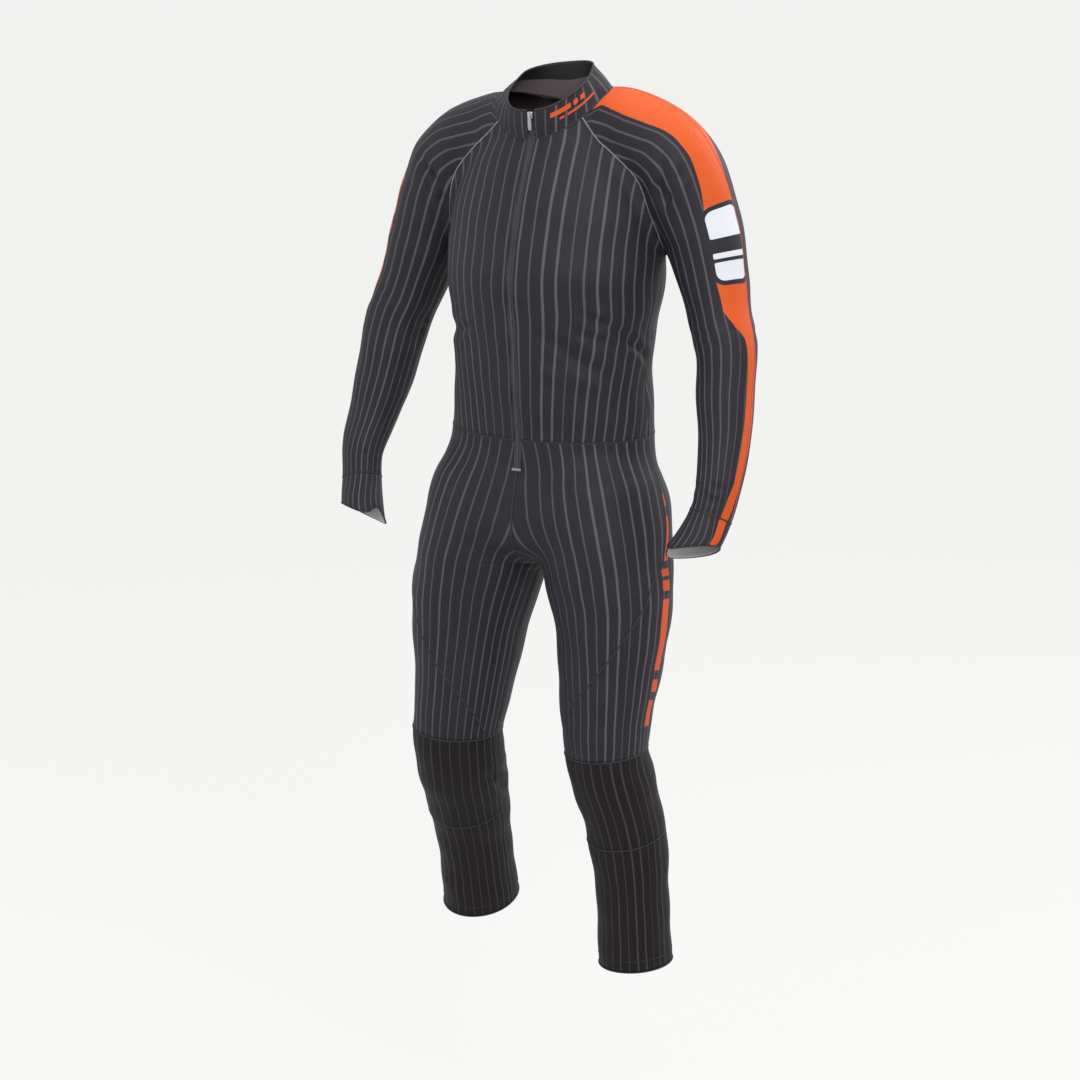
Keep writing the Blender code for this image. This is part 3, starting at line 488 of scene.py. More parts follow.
class Limb:
    """Rows round a limb: a start point, a frame and the angles of its two edges in each row."""

    def __init__(self, origin: np.ndarray, along: np.ndarray, side: float) -> None:
        """Starts with edges at the inner middle.

        Args:
            origin: Start point of each row.
            along: Direction of the limb in each row.
            side: 1 for the left limb, -1 for the right one.
        """
        self.origin = origin
        self.along = along
        self.forward, self.outward = limb_frames(along, side)
        count = len(origin)
        self.first_angle = np.full(count, INNER_EDGE)
        self.last_angle = np.full(count, INNER_EDGE + 360)
        self.first_rise = np.zeros(count)
        self.last_rise = np.zeros(count)

    def set_edge(self, row: int, point: np.ndarray, last: bool) -> None:
        """Makes the row's first or last edge pass through a point.

        Args:
            row: Number of the row.
            point: The point.
            last: Whether it is the last edge.
        """
        away = unit(point - self.origin[row])
        forward = float(away @ self.forward[row])
        outward = float(away @ self.outward[row])
        angle = math.degrees(math.atan2(outward, forward))
        rise = math.degrees(math.asin(np.clip(float(away @ self.along[row]), -1, 1)))
        if last:
            self.last_angle[row] = angle + 360 if angle < 0 else angle
            self.last_rise[row] = rise
        else:
            self.first_angle[row] = angle - 360 if angle > 100 else angle
            self.first_rise[row] = rise

    def set_edges(self, first: np.ndarray, last: np.ndarray) -> None:
        """Makes the upper rows' edges pass through two lines of points.

        Args:
            first: A point for the first edge of each row.
            last: A point for the last edge of each row.
        """
        for row, (one, two) in enumerate(zip(first, last)):
            self.set_edge(row, one, last=False)
            self.set_edge(row, two, last=True)

    def directions(self, angles: np.ndarray) -> np.ndarray:
        """Ray directions at angles from the front, outwards and round, in each row.

        Args:
            angles: Angles of each row, in degrees.

        Returns:
            Unit directions.
        """
        first = (angles - OVERARM) / (self.first_angle[:, None] - OVERARM)
        last = (angles - OVERARM) / (self.last_angle[:, None] - OVERARM)
        rise = np.where(
            angles < OVERARM,
            self.first_rise[:, None] * np.clip(first, 0, 1) ** 2,
            self.last_rise[:, None] * np.clip(last, 0, 1) ** 2,
        )
        turn, lift = np.radians(angles), np.radians(rise)
        flat = (
            np.cos(turn)[..., None] * self.forward[:, None]
            + np.sin(turn)[..., None] * self.outward[:, None]
        )
        return np.cos(lift)[..., None] * flat + np.sin(lift)[..., None] * self.along[:, None]

    def angles_between(self, left: np.ndarray, right: np.ndarray, columns: int) -> np.ndarray:
        """Even angles between two edges.

        Args:
            left: First angle of every row.
            right: Last angle of every row.
            columns: How many.

        Returns:
            Angles of each row.
        """
        share = np.linspace(0, 1, columns)[None, :]
        left = np.broadcast_to(left, len(self.origin))[:, None]
        right = np.broadcast_to(right, len(self.origin))[:, None]
        return left + (right - left) * share


def collar_points(angles: np.ndarray, part: float) -> np.ndarray:
    """Points of the collar by angle, positive to the left, at a part of its height.

    Args:
        angles: Angles from the front, in degrees.
        part: 0 at the seam, 1 at the rim.

    Returns:
        Points of the collar.
    """
    table = np.array(COLLAR)
    places = np.interp(np.abs(angles), table[:, 0], np.arange(len(table)))
    mirrored = np.concatenate([table[1:2], table, table[-2:-1]])
    rows = dict(zip(COLLAR_COLUMNS, smooth_curve(mirrored, places + 1).T))
    radius = rows["seam_radius"] + (rows["rim_radius"] - rows["seam_radius"]) * part
    height = rows["seam_z"] + (rows["rim_z"] - rows["seam_z"]) * part
    turn = np.radians(angles)
    across = np.sin(turn) * radius
    return np.stack([across, -np.cos(turn) * radius, height + COLLAR_LEAN * across], axis=-1)


def neck_seam(form: Form, angles: np.ndarray) -> np.ndarray:
    """The collar's seam on the form, by angle.

    Args:
        form: The soft form.
        angles: Angles from the front, in degrees.

    Returns:
        Points of the seam.
    """
    centre = np.array(NECK_CENTRE)
    return form.cast(centre, collar_points(np.asarray(angles, float), 0.0) - centre, "top")


def arc(form: Form, origin: np.ndarray, start: np.ndarray, end: np.ndarray, columns: int,
        zone: str) -> np.ndarray:
    """Rows of points on the form from start points to end points, at even angles.

    Args:
        form: The soft form.
        origin: Start of each row's rays.
        start: First point of each row.
        end: Last point of each row.
        columns: Points in a row.
        zone: top, hips or whole.

    Returns:
        A grid of points.
    """
    first, last = unit(start - origin), unit(end - origin)
    spread = np.arccos(np.clip((first * last).sum(-1), -1, 1))[:, None]
    share = np.linspace(0, 1, columns)[None, :]
    one = (np.sin((1 - share) * spread) / np.sin(spread))[..., None]
    two = (np.sin(share * spread) / np.sin(spread))[..., None]
    return form.cast(origin[:, None], first[:, None] * one + last[:, None] * two, zone)


# Reference radii, in metres, that turn an angle round a limb into cloth width
ARM_RADIUS = 0.055
THIGH_RADIUS = 0.090
SHANK_RADIUS = 0.063
COLLAR_RADIUS = 0.075

# Smaller creases, seen only in the look: place, then depth and half width, in metres
CREASES = (
    (0.197, -0.034, -0.070, 0.187, -0.029, -0.135, 0.0034, 0.0045),
    (0.224, -0.027, -0.089, 0.195, -0.030, -0.146, 0.0036, 0.0045),
    (-0.207, -0.033, -0.097, -0.175, -0.032, -0.136, 0.0036, 0.0045),
    (-0.175, -0.032, -0.136, -0.175, -0.017, -0.178, 0.0030, 0.0045),
    (0.103, -0.104, -0.298, 0.142, -0.053, -0.332, 0.0032, 0.0050),
    (0.142, -0.053, -0.332, 0.154, 0.005, -0.378, 0.0034, 0.0055),
    (0.094, -0.107, -0.323, 0.120, -0.083, -0.342, 0.0020, 0.0050),
    (-0.121, -0.082, -0.348, -0.082, -0.113, -0.326, 0.0024, 0.0045),
    (-0.281, -0.026, -0.296, -0.231, 0.018, -0.354, 0.0032, 0.0040),
    (-0.285, -0.031, -0.314, -0.233, 0.010, -0.369, 0.0030, 0.0038),
    (0.252, -0.028, -0.327, 0.304, -0.018, -0.318, 0.0026, 0.0038),
    (0.256, -0.024, -0.341, 0.298, -0.022, -0.334, 0.0020, 0.0035),
    (0.272, -0.075, -0.542, 0.318, -0.084, -0.540, 0.0024, 0.0040),
    (0.270, -0.081, -0.564, 0.316, -0.088, -0.555, 0.0022, 0.0040),
    (-0.296, -0.089, -0.540, -0.274, -0.081, -0.550, 0.0014, 0.0040),
    (0.310, 0.040, -0.330, 0.250, 0.080, -0.345, 0.0030, 0.0055),
    (-0.310, 0.040, -0.330, -0.250, 0.080, -0.350, 0.0030, 0.0055),
    (0.020, 0.110, -0.410, 0.130, 0.070, -0.440, 0.0030, 0.0070),
    (-0.130, 0.070, -0.420, -0.010, 0.112, -0.400, 0.0030, 0.0070),
    (-0.090, 0.120, -0.100, -0.150, 0.080, -0.200, 0.0032, 0.0080),
    (0.090, 0.120, -0.100, 0.150, 0.080, -0.190, 0.0032, 0.0080),
    (0.015, 0.060, -0.670, 0.110, 0.095, -0.700, 0.0035, 0.0080),
    (-0.015, 0.060, -0.670, -0.110, 0.095, -0.690, 0.0035, 0.0080),
    (-0.018, -0.136, -0.624, -0.072, -0.131, -0.655, 0.0018, 0.0070),
    (0.170, 0.000, -0.985, 0.110, 0.015, -1.000, 0.0040, 0.0065),
    (-0.175, 0.010, -0.990, -0.110, 0.020, -1.005, 0.0040, 0.0065),
    (-0.075, -0.076, -1.028, -0.084, 0.004, -1.074, 0.0030, 0.0055),
    (-0.078, -0.060, -1.010, -0.086, 0.010, -1.040, 0.0026, 0.0050),
)
# A fold wavers to both sides of its line and fades at its ends, with a lower ridge beside it
WAVER = 0.0022
WAVER_TURN = 9.0
TAPER_FROM = 0.08
TAPER_OVER = 0.84
RIDGE_AT = 2.3
RIDGE_SHARE = 0.35
RIPPLE = 0.0005

# Prints on the left sleeve, as outlines on the cloth: metres from the overarm line towards the
# back, then metres down the sleeve
ORANGE_BAND = (
    (-0.0300, -0.0150),
    (-0.0389, 0.0086),
    (-0.0515, 0.0193),
    (-0.0602, 0.0292),
    (-0.0630, 0.0394),
    (-0.0621, 0.0497),
    (-0.0585, 0.0747),
    (-0.0542, 0.0987),
    (-0.0484, 0.1222),
    (-0.0456, 0.1409),
    (-0.0448, 0.1600),
    (-0.0435, 0.1800),
    (-0.0450, 0.2025),
    (-0.0475, 0.2300),
    (-0.0540, 0.2691),
    (-0.0620, 0.2897),
    (-0.0630, 0.3285),
    (-0.0590, 0.3671),
    (-0.0548, 0.4252),
    (-0.0404, 0.4539),
    (-0.0272, 0.4708),
    (-0.0232, 0.4907),
    (0.0030, 0.4907),
    (0.0020, 0.4400),
    (0.0030, 0.3800),
    (0.0000, 0.3000),
    (-0.0010, 0.2500),
    (0.0040, 0.2150),
    (0.0100, 0.1800),
    (0.0180, 0.1500),
    (0.0280, 0.1100),
    (0.0380, 0.0500),
    (0.0420, -0.0200),
)
ORANGE_STRIPE = (
    (-0.0245, 0.4850),
    (-0.0225, 0.5100),
    (-0.0200, 0.5529),
    (-0.0215, 0.6100),
    (-0.0218, 0.6572),
    (-0.0230, 0.6850),
    (-0.0325, 0.7066),
    (-0.0436, 0.7536),
    (-0.0510, 0.7950),
    (-0.0300, 0.8050),
    (-0.0200, 0.7600),
    (-0.0080, 0.7200),
    (0.0000, 0.6918),
    (0.0040, 0.6629),
    (0.0080, 0.6186),
    (0.0080, 0.5493),
    (0.0050, 0.5100),
    (0.0030, 0.4850),
)
# A plain white panel with rounded corners and a dark border
PANEL_MIDDLE = (-0.0270, 0.3250)
PANEL_HALF = (0.0360, 0.0620)
PANEL_CORNER = 0.020
PANEL_BORDER = 0.007
PANEL_BARS = ((-0.040, -0.010, 0.040, 0.012), (-0.040, 0.021, 0.040, 0.026))

# Size of the cells of the pieces whose prints have small shapes
PRINTED_STEPS = {"sleeve_front_left": 0.0026, "sleeve_back_left": 0.0026, "collar": 0.0016}
# Height, then place of the axis that the trousers' stripes run round
LEG_AXIS = (
    (-1.050, 0.136, -0.040),
    (-0.960, 0.127, -0.071),
    (-0.850, 0.122, -0.053),
    (-0.740, 0.114, -0.034),
    (-0.680, 0.103, -0.026),
    (-0.620, 0.086, -0.017),
    (-0.560, 0.070, -0.010),
    (-0.480, 0.054, -0.004),
)
# Share of the relaxed width by which the chest's cloth is narrower, by height
CHEST_SHARE = ((-0.492, 1.00), (-0.300, 0.76))
# Metres down the sleeve, then how far its stripes bend across there, on the way from the neck
SLEEVE_BEND = (
    (0.000, 0.0100), (0.009, 0.0095), (0.019, -0.0031), (0.029, -0.0118), (0.039, -0.0146),
    (0.050, -0.0137), (0.075, -0.0101), (0.099, -0.0058), (0.122, 0.0000), (0.160, 0.0035),
    (0.200, 0.0030), (0.260, 0.0000),
)
# The collar's dark facing starts this far above its seam, with a soft edge
BAND_FROM = 0.024
BAND_EDGE = 0.0005
# The look's folds are this much deeper than the solids', because its light is soft
FOLD_SHARE = 1.5
CREASE_SHARE = 1.7


def dash_row(start: float, end: float, left: float, right: float, dashes: tuple) -> list:
    """A row of plain dashes along the cloth, each with its share of the length.

    Args:
        start: Where the row starts along the cloth.
        end: Where it ends.
        left: Its first edge across.
        right: Its last edge across.
        dashes: Length of each dash and of the space after it, as weights.

    Returns:
        Bars for bar_distance.
    """
    scale = (end - start) / sum(dash + gap for dash, gap in dashes)
    bars, at = [], start
    for dash, gap in dashes:
        bars.append((left, at, right, at + dash * scale))
        at += (dash + gap) * scale
    return bars


# Plain dashes in the accent colour, where the photograph has printed words: weights of each dash
# and of the space behind it
SHORT_AND_LONG = ((3, 2), (10, 2), (3, 2), (3, 2), (16, 2), (3, 2), (7, 0))
LONG_FIRST = ((12, 2), (4, 2), (4, 2), (12, 2), (4, 0))
MARK_BARS = {
    "thigh_back_left": dash_row(0.085, 0.495, 0.128, 0.150, SHORT_AND_LONG),
    "sleeve_front_right": dash_row(0.225, 0.480, -0.044, -0.024, LONG_FIRST),
    "collar": [
        (0.030, 0.026, 0.062, 0.034),
        (0.066, 0.026, 0.074, 0.034),
        (0.078, 0.026, 0.086, 0.034),
        (0.044, 0.017, 0.052, 0.021),
        (0.056, 0.017, 0.100, 0.021),
    ],
}
# Fields of the prints in the order in which they lie on the cloth, with their inks
INKS = {"orange": "#b44715", "mark": "#b84517", "border": "#1f1d23", "white": "#bcbdc4"}
OFF_PRINT = -1.0
PRINT_EDGE = (0.00005, 0.0005)

# Lower legs, whose cloth is darker and duller
LOWER_PIECES = ("knee", "shin", "calf")


def smooth_rows(values: np.ndarray, places: np.ndarray, fine: np.ndarray) -> np.ndarray:
    """Carries rows of values to finer places along a smooth curve through them.

    Each stretch is a cubic with the slopes of a parabola through three neighbouring rows.

    Args:
        values: Rows of numbers, in any shape behind the first axis.
        places: Growing place of each row.
        fine: Places asked for.

    Returns:
        The values at the fine places.
    """
    step = np.diff(places)
    shape = (-1,) + (1,) * (values.ndim - 1)
    rate = np.diff(values, axis=0) / step.reshape(shape)
    before, after = step[:-1].reshape(shape), step[1:].reshape(shape)
    slope = np.empty_like(values)
    slope[1:-1] = (rate[:-1] * after + rate[1:] * before) / (before + after)
    slope[0], slope[-1] = 1.5 * rate[0] - 0.5 * slope[1], 1.5 * rate[-1] - 0.5 * slope[-2]
    pick = np.clip(np.searchsorted(places, fine, side="right") - 1, 0, len(step) - 1)
    width = step[pick].reshape(shape)
    part = ((fine - places[pick]) / step[pick]).reshape(shape)
    square, cube = part**2, part**3
    return (
        (2 * cube - 3 * square + 1) * values[pick]
        + (cube - 2 * square + part) * width * slope[pick]
        + (3 * square - 2 * cube) * values[pick + 1]
        + (cube - square) * width * slope[pick + 1]
    )


def run_length(points: np.ndarray, axis: int) -> np.ndarray:
    """Mean length of cloth from the first row or column to each one.

    Args:
        points: Grid of points.
        axis: 0 to go down the rows, 1 to go across the columns.

    Returns:
        A growing length for each row or column.
    """
    hops = np.linalg.norm(np.diff(points, axis=axis), axis=2).mean(axis=1 - axis)
    return np.concatenate([[0.0], np.cumsum(np.maximum(hops, 1e-5))])


def grid_normals(points: np.ndarray, closed: bool) -> np.ndarray:
    """Directions square to a grid, from the crossing of its rows and columns.

    Args:
        points: Grid of points.
        closed: Whether the last column meets the first.

    Returns:
        Unit directions, either all outwards or all inwards.
    """
    across = np.gradient(points, axis=1)
    if closed:
        wrap = (points[:, 1] - points[:, -2]) / 2
        across[:, 0] = wrap
        across[:, -1] = wrap
    return unit(np.cross(across, np.gradient(points, axis=0)))


def trunk_width(grid: np.ndarray, middle: int) -> np.ndarray:
    """Level distance round the trunk from its middle line, less what the chest is stretched.

    Args:
        grid: Points of the piece.
        middle: Column that starts the count.

    Returns:
        Metres of relaxed cloth from the middle line, for each point.
    """
    hops = np.linalg.norm(np.diff(grid[..., :2], axis=1), axis=2)
    run = np.concatenate([np.zeros((len(grid), 1)), np.cumsum(hops, axis=1)], axis=1)
    heights, shares = np.array(CHEST_SHARE).T
    start = np.abs(grid[:, middle, 0]) - run[:, middle]
    return (run + start[:, None]) * np.interp(grid[..., 2], heights, shares)


def leg_width(grid: np.ndarray, side: int) -> np.ndarray:
    """Angle of each point round the leg's own smooth axis, times the thigh's radius.

    Args:
        grid: Points of the piece.
        side: 1 for the left leg, -1 for the right one.

    Returns:
        Metres of cloth from the front line, for each point.
    """
    heights, across, deep = np.array(LEG_AXIS).T
    x = grid[..., 0] * side - np.interp(grid[..., 2], heights, across)
    y = np.interp(grid[..., 2], heights, deep) - grid[..., 1]
    return np.unwrap(np.arctan2(x, y), axis=1) * THIGH_RADIUS


def crease_depth(points: np.ndarray) -> np.ndarray:
    """How far the folds press each point in: a trough round each line, with a low ridge beside it.

    Across a fold its depth is a bell curve of the distance to its line, and along it a half wave.
    Low ripples, crossing sines 60 to 220 mm long, cover the whole cloth.

    Args:
        points: Points on the cloth.

    Returns:
        Depth in metres, negative on a ridge.
    """
    total = np.zeros(points.shape[:-1])
    for number, row in enumerate(FOLDS + CREASES):
        fold = dict(zip(FOLD_COLUMNS, row))
        start = np.array([fold["x1"], fold["y1"], fold["z1"]])
        run = np.array([fold["x2"], fold["y2"], fold["z2"]]) - start
        part = np.clip(((points - start) @ run) / (run @ run), 0.0, 1.0)
        waver = WAVER * np.sin(WAVER_TURN * part + number) * (number >= len(FOLDS))
        away = np.linalg.norm(points - (start + part[..., None] * run), axis=-1) + waver
        taper = np.sin(np.pi * (TAPER_FROM + TAPER_OVER * part))
        trough = np.exp(-(away**2) / (2 * fold["width"] ** 2))
        ridge = np.exp(-((away - RIDGE_AT * fold["width"]) ** 2) / (2 * fold["width"] ** 2))
        deeper = FOLD_SHARE if number < len(FOLDS) else CREASE_SHARE
        total += deeper * fold["depth"] * taper * (trough - RIDGE_SHARE * ridge)
    x, y, z = points[..., 0], points[..., 1], points[..., 2]
    crossing = np.sin(47 * x + 31 * z + 2) * np.sin(39 * y - 53 * z)
    ripple = crossing + np.sin(83 * z + 29 * x - 21 * y)
    return total + RIPPLE * ripple


def outline_distance(places: np.ndarray, outline: tuple) -> np.ndarray:
    """Signed distance to an outline on flat cloth, positive inside.

    Args:
        places: Points of the cloth, in metres across and along.
        outline: Corners of the outline, in order.

    Returns:
        Distance of each point to the outline's nearest side.
    """
    corners = np.array(outline, dtype=float)
    nearest = np.full(places.shape[:-1], np.inf)
    inside = np.zeros(places.shape[:-1], dtype=bool)
    for start, end in zip(corners, np.roll(corners, -1, axis=0)):
        run = end - start
        away = places - start
        part = np.clip((away @ run) / max(float(run @ run), SLIVER), 0.0, 1.0)
        nearest = np.minimum(nearest, np.linalg.norm(away - part[..., None] * run, axis=-1))
        crosses = (start[1] > places[..., 1]) != (end[1] > places[..., 1])
        height = end[1] - start[1] if abs(end[1] - start[1]) > SMALL else SMALL
        at = start[0] + (places[..., 1] - start[1]) * run[0] / height
        inside ^= crosses & (places[..., 0] < at)
    return np.where(inside, nearest, -nearest)


@dataclass
class Patch:
    """One cut piece as a coarse grid on the form, with cloth coordinates and its named seams.

    Attributes:
        name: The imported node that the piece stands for.
        points: Grid of points on the form.
        around: Metres of cloth across, for each point.
        split: Row where the first seam of a side column ends and the next begins.
        closed: Whether the last column meets the first.
        lengths: Metres of cloth down to each row, where another piece shares them.
        step: Size of the fine grid's cells.
    """

    name: str
    points: np.ndarray
    around: np.ndarray
    split: int = 0
    closed: bool = False
    lengths: np.ndarray = field(default=None)
    step: float = FINE_STEP
    fine: np.ndarray = field(default=None)
    normal: np.ndarray = field(default=None)
    cloth: np.ndarray = field(default=None)
    fine_split: int = 0

    def refine(self, middle: np.ndarray) -> None:
        """Works out the fine grid, its normals and its cloth coordinates.

        Args:
            middle: A point well inside the piece, that the normals point away from.
        """
        down, across = run_length(self.points, 0), run_length(self.points, 1)
        rows, columns = (
            np.linspace(0, run[-1], max(int(run[-1] / self.step), LEAST_CELLS) + 1)
            for run in (down, across)
        )
        held = np.concatenate([self.points, self.around[..., None]], axis=-1)
        held = smooth_rows(held, down, rows)
        held = smooth_rows(held.swapaxes(0, 1), across, columns).swapaxes(0, 1)
        self.fine_split = int(np.searchsorted(rows, down[min(self.split, len(down) - 1)]))
        points = held[..., :3]
        if self.name.startswith("thigh_front"):
            upper = np.arange(len(rows)) <= self.fine_split
            below = points[:, 0, 2] < ZIP_FOOT - STOP_BELOW_ZIP
            points[below & upper, 0, 0] = 0.0
        normal = grid_normals(points, self.closed)
        if (normal * (points - middle)).sum() < 0:
            normal = -normal
        self.fine = points - normal * crease_depth(points)[..., None]
        self.normal = grid_normals(self.fine, self.closed)
        if (self.normal * normal).sum() < 0:
            self.normal = -self.normal
        lengths = down if self.lengths is None else self.lengths
        along = np.broadcast_to(np.interp(rows, down, lengths)[:, None], points.shape[:2])
        self.cloth = np.stack([held[..., 3], along], axis=-1)

    def edge(self, side: str, start: int = 0, stop: int = None) -> tuple:
        """Points and normals along one edge of the piece.

        Args:
            side: left, right, top or bottom.
            start: First fine row of a side edge.
            stop: Row after the last fine row of a side edge.

        Returns:
            The edge's points and its normals.
        """
        pick = {
            "left": (slice(start, stop), 0),
            "right": (slice(start, stop), -1),
            "top": (0, slice(None)),
            "bottom": (-1, slice(None)),
        }[side]
        return self.fine[pick], self.normal[pick]


class SuitPattern:
    """Works out every cut piece of the suit on the soft form."""

    def __init__(self) -> None:
        """Builds the form that all pieces lie on."""
        self.form = Form()
        self.patches: dict[str, Patch] = {}

    def raglan(self, side: int) -> list:
        """Front and back raglan seams of one side, from the collar to above the underarm."""
        places = np.linspace(0, len(RAGLAN) - 1, 2 * len(RAGLAN) - 1)
        rows = dict(zip(RAGLAN_COLUMNS, smooth_curve(RAGLAN, places).T))
        drop = RAGLAN_DROP[side] * places / places[-1]
        seams = []
        for face, way, angle in zip(("front", "back"), (-1.0, 1.0), RAGLAN_AT_COLLAR):
            inside = np.full(len(places), RAGLAN_CAST_FROM)
            origin = np.stack([rows[face + "_x"] * side, inside, rows[face + "_z"] - drop], axis=-1)
            line = self.form.cast(origin, np.array([[0.0, way, 0.0]]), "top")
            seams.append(np.concatenate([neck_seam(self.form, [angle * side]), line]))
        return seams

    def underarm(self, side: int) -> np.ndarray:
        """The point where body, sleeve and side seams meet."""
        down = np.array([[0.0, 0.0, -1.0]])
        return self.form.cast(np.array([UNDERARM_OVER[side]]), down, "top")[0]

    def add(self, name: str, points: np.ndarray, around: np.ndarray, split: int = 0,
            lengths: np.ndarray = None) -> None:
        """Keeps a piece, refined about its own middle, by its node's name.

        Args:
            name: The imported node's name.
            points: Coarse grid of points.
            around: Metres of cloth across.
            split: Coarse row where the first side seam ends.
            lengths: Metres of cloth down to each row, where another piece shares them.
        """
        step = PRINTED_STEPS.get(name, FINE_STEP)
        patch = Patch(name, points, around, split, name.startswith("cuff"), lengths, step)
        patch.refine(self.middle_of(name))
        self.patches[name] = patch

    def middle_of(self, name: str) -> np.ndarray:
        """A point well inside the body or limb that a piece wraps."""
        kind = name.split("_")[0]
        if kind in BODY_MIDDLES:
            return np.array(BODY_MIDDLES[kind])
        limbs = self.form.arms if kind in ("sleeve", "cuff") else self.form.legs
        side = 1 if name.endswith("left") else -1
        return limbs[side].place([LIMB_MIDDLES[kind]])[0][0]

    def sleeve(self, side: int) -> None:
        """Front and back halves of one raglan sleeve, and its cuff.

        Args:
            side: 1 for the left sleeve, -1 for the right one.
        """
        arm = self.form.arms[side]
        front, back = self.raglan(side)
        open_rows = len(front)
        under = self.underarm(side)
        front, back = (np.concatenate([seam, under[None]]) for seam in (front, back))
        under_row = arm.row_square_to(under, UNDERARM_BETWEEN)
        upper = np.linspace(SHOULDER_ROW, under_row - OPEN_ENDS_BEFORE, open_rows - 1)
        armpit = under_row + np.array(ARMPIT_STEPS)
        between = np.linspace(armpit[-1], ELBOW_ROWS[0], 3)[1:-1]
        elbow = np.linspace(ELBOW_ROWS[0], ELBOW_ROWS[1], 11)
        lower = np.linspace(ELBOW_ROWS[1], WRIST_ROW, 9)[1:]
        centre, along = arm.place(np.concatenate([upper, armpit, between, elbow, lower]))
        inside_neck = np.array(SLEEVE_TOP_FROM) * np.array([side, 1.0, 1.0])
        centre = np.concatenate([inside_neck[None], centre])
        along = np.concatenate([[[0.0, 0.0, -1.0]], along])
        limb = Limb(centre, along, side)
        limb.set_edges(front, back)
        neck_front, neck_back = RAGLAN_AT_COLLAR
        lengths = None
        for piece, left, right, ends, column, seam in (
            ("sleeve_front", limb.first_angle, OVERARM, (neck_front, OVERARM_AT_COLLAR), 0, front),
            ("sleeve_back", OVERARM, limb.last_angle, (OVERARM_AT_COLLAR, neck_back), -1, back),
        ):
            angles = limb.angles_between(left, right, SLEEVE_COLUMNS)
            grid = self.form.cast(limb.origin[:, None], limb.directions(angles), "top")
            grid[0] = neck_seam(self.form, np.linspace(*ends, SLEEVE_COLUMNS) * side)
            grid[: open_rows + 1, column] = seam
            around = np.radians(angles - OVERARM) * ARM_RADIUS
            if lengths is None:
                lengths = run_length(grid[:, -2:], 0)
            self.add(f"{piece}_{side_name(side)}", grid, around, open_rows, lengths)
        self.cuff(side, lengths[-1])

    def cuff(self, side: int, length: float) -> None:
        """The hand cuff, cut back at its outer side and at the thumb.

        Args:
            side: 1 for the left cuff, -1 for the right one.
            length: Metres of cloth from the neck down to its seam.
        """
        places = np.linspace(WRIST_ROW, CUFF_END_ROW, 9)
        centre, along = self.form.arms[side].place(places)
        limb = Limb(centre, along, side)
        angles = limb.angles_between(INNER_EDGE, INNER_EDGE + 360, CUFF_COLUMNS)
        share = ((places - WRIST_ROW) / (CUFF_END_ROW - WRIST_ROW))[:, None]
        slant = CUFF_SLANT * (1 + np.sin(np.radians(angles))) / 2
        notch = sum(
            THUMB_NOTCH * np.exp(-(((angles - THUMB_ANGLE - turn) / THUMB_SPREAD) ** 2))
            for turn in (0.0, 360.0)
        )
        cut_back = share * (slant + notch)
        origin = limb.origin[:, None] - limb.along[:, None] * cut_back[..., None]
        grid = self.form.cast(origin, limb.directions(angles), "top")
        grid[:, -1] = grid[:, 0]
        around = np.radians(angles - OVERARM) * ARM_RADIUS
        self.add(f"cuff_{side_name(side)}", grid, around, lengths=length + run_length(grid, 0))

    def trunk_axis(self, heights: np.ndarray) -> np.ndarray:
        """Points inside the trunk at given heights."""
        table = np.array(TRUNK)
        depth = np.interp(-np.asarray(heights), -table[:, 2], table[:, 1])
        return np.stack([np.zeros(len(depth)), depth, heights], axis=-1)

    def zip_line(self, across: float, heights: np.ndarray) -> np.ndarray:
        """A line down the front at a distance from the middle."""
        origin = self.trunk_axis(heights)
        origin[:, 0] = across
        return self.form.cast(origin, np.array([[0.0, -1.0, 0.0]]), "whole")

    def bodice(self) -> None:
        """Two fronts and one back, from the collar to the waist seam."""
        halves = []
        for side in (1, -1):
            front, back = self.raglan(side)
            under = self.underarm(side)
            close = under[2] - np.array(BELOW_UNDERARM)
            waist = np.linspace(WAIST_FROM, WAIST_HEIGHT, WAIST_ROWS)
            lower = np.concatenate([close, np.linspace(*RIB_HEIGHTS), waist])
            outward = np.array([[float(side), 0.0, 0.0]])
            side_line = self.form.cast(self.trunk_axis(lower), outward, "top")
            edge = np.concatenate([front, under[None], side_line])
            open_rows = len(front) + 1
            top = np.linspace(0, 1, open_rows)
            zip_top = COLLAR_FOOT + top * (under[2] - COLLAR_FOOT)
            zip_edge = self.zip_line(side * ZIP_HALF, np.concatenate([zip_top, lower]))
            zip_edge[0] = neck_seam(self.form, [side * ZIP_AT_NECK])[0]
            origin = self.trunk_axis((zip_edge[:, 2] + edge[:, 2]) / 2)
            grid = arc(self.form, origin, zip_edge, edge, FRONT_COLUMNS, "top")
            grid[:, -1] = edge
            neck = np.linspace(ZIP_AT_NECK, RAGLAN_AT_COLLAR[0], FRONT_COLUMNS)
            grid[0] = neck_seam(self.form, neck * side)
            around = trunk_width(grid, 0) * side
            self.add(f"front_{side_name(side)}", grid, around, open_rows - 1)
            back_edge = np.concatenate([back, under[None], side_line])
            back_top = SPINE_TOP + top * (under[2] - SPINE_TOP)
            spine = self.trunk_axis(np.concatenate([back_top, lower]))
            spine = self.form.cast(spine, np.array([[0.0, 1.0, 0.0]]), "top")
            spine[0] = neck_seam(self.form, [180.0])[0]
            origin = self.trunk_axis((spine[:, 2] + back_edge[:, 2]) / 2)
            half = arc(self.form, origin, back_edge, spine, BACK_COLUMNS, "top")
            half[:, 0] = back_edge
            neck = np.linspace(RAGLAN_AT_COLLAR[1], 180.0, BACK_COLUMNS)
            half[0] = neck_seam(self.form, neck * side)
            halves.append(half)
        grid = np.concatenate([halves[0], halves[1][:, -2::-1]], axis=1)
        around = trunk_width(grid, half.shape[1] - 1)
        self.add("back", grid, around, open_rows - 1)

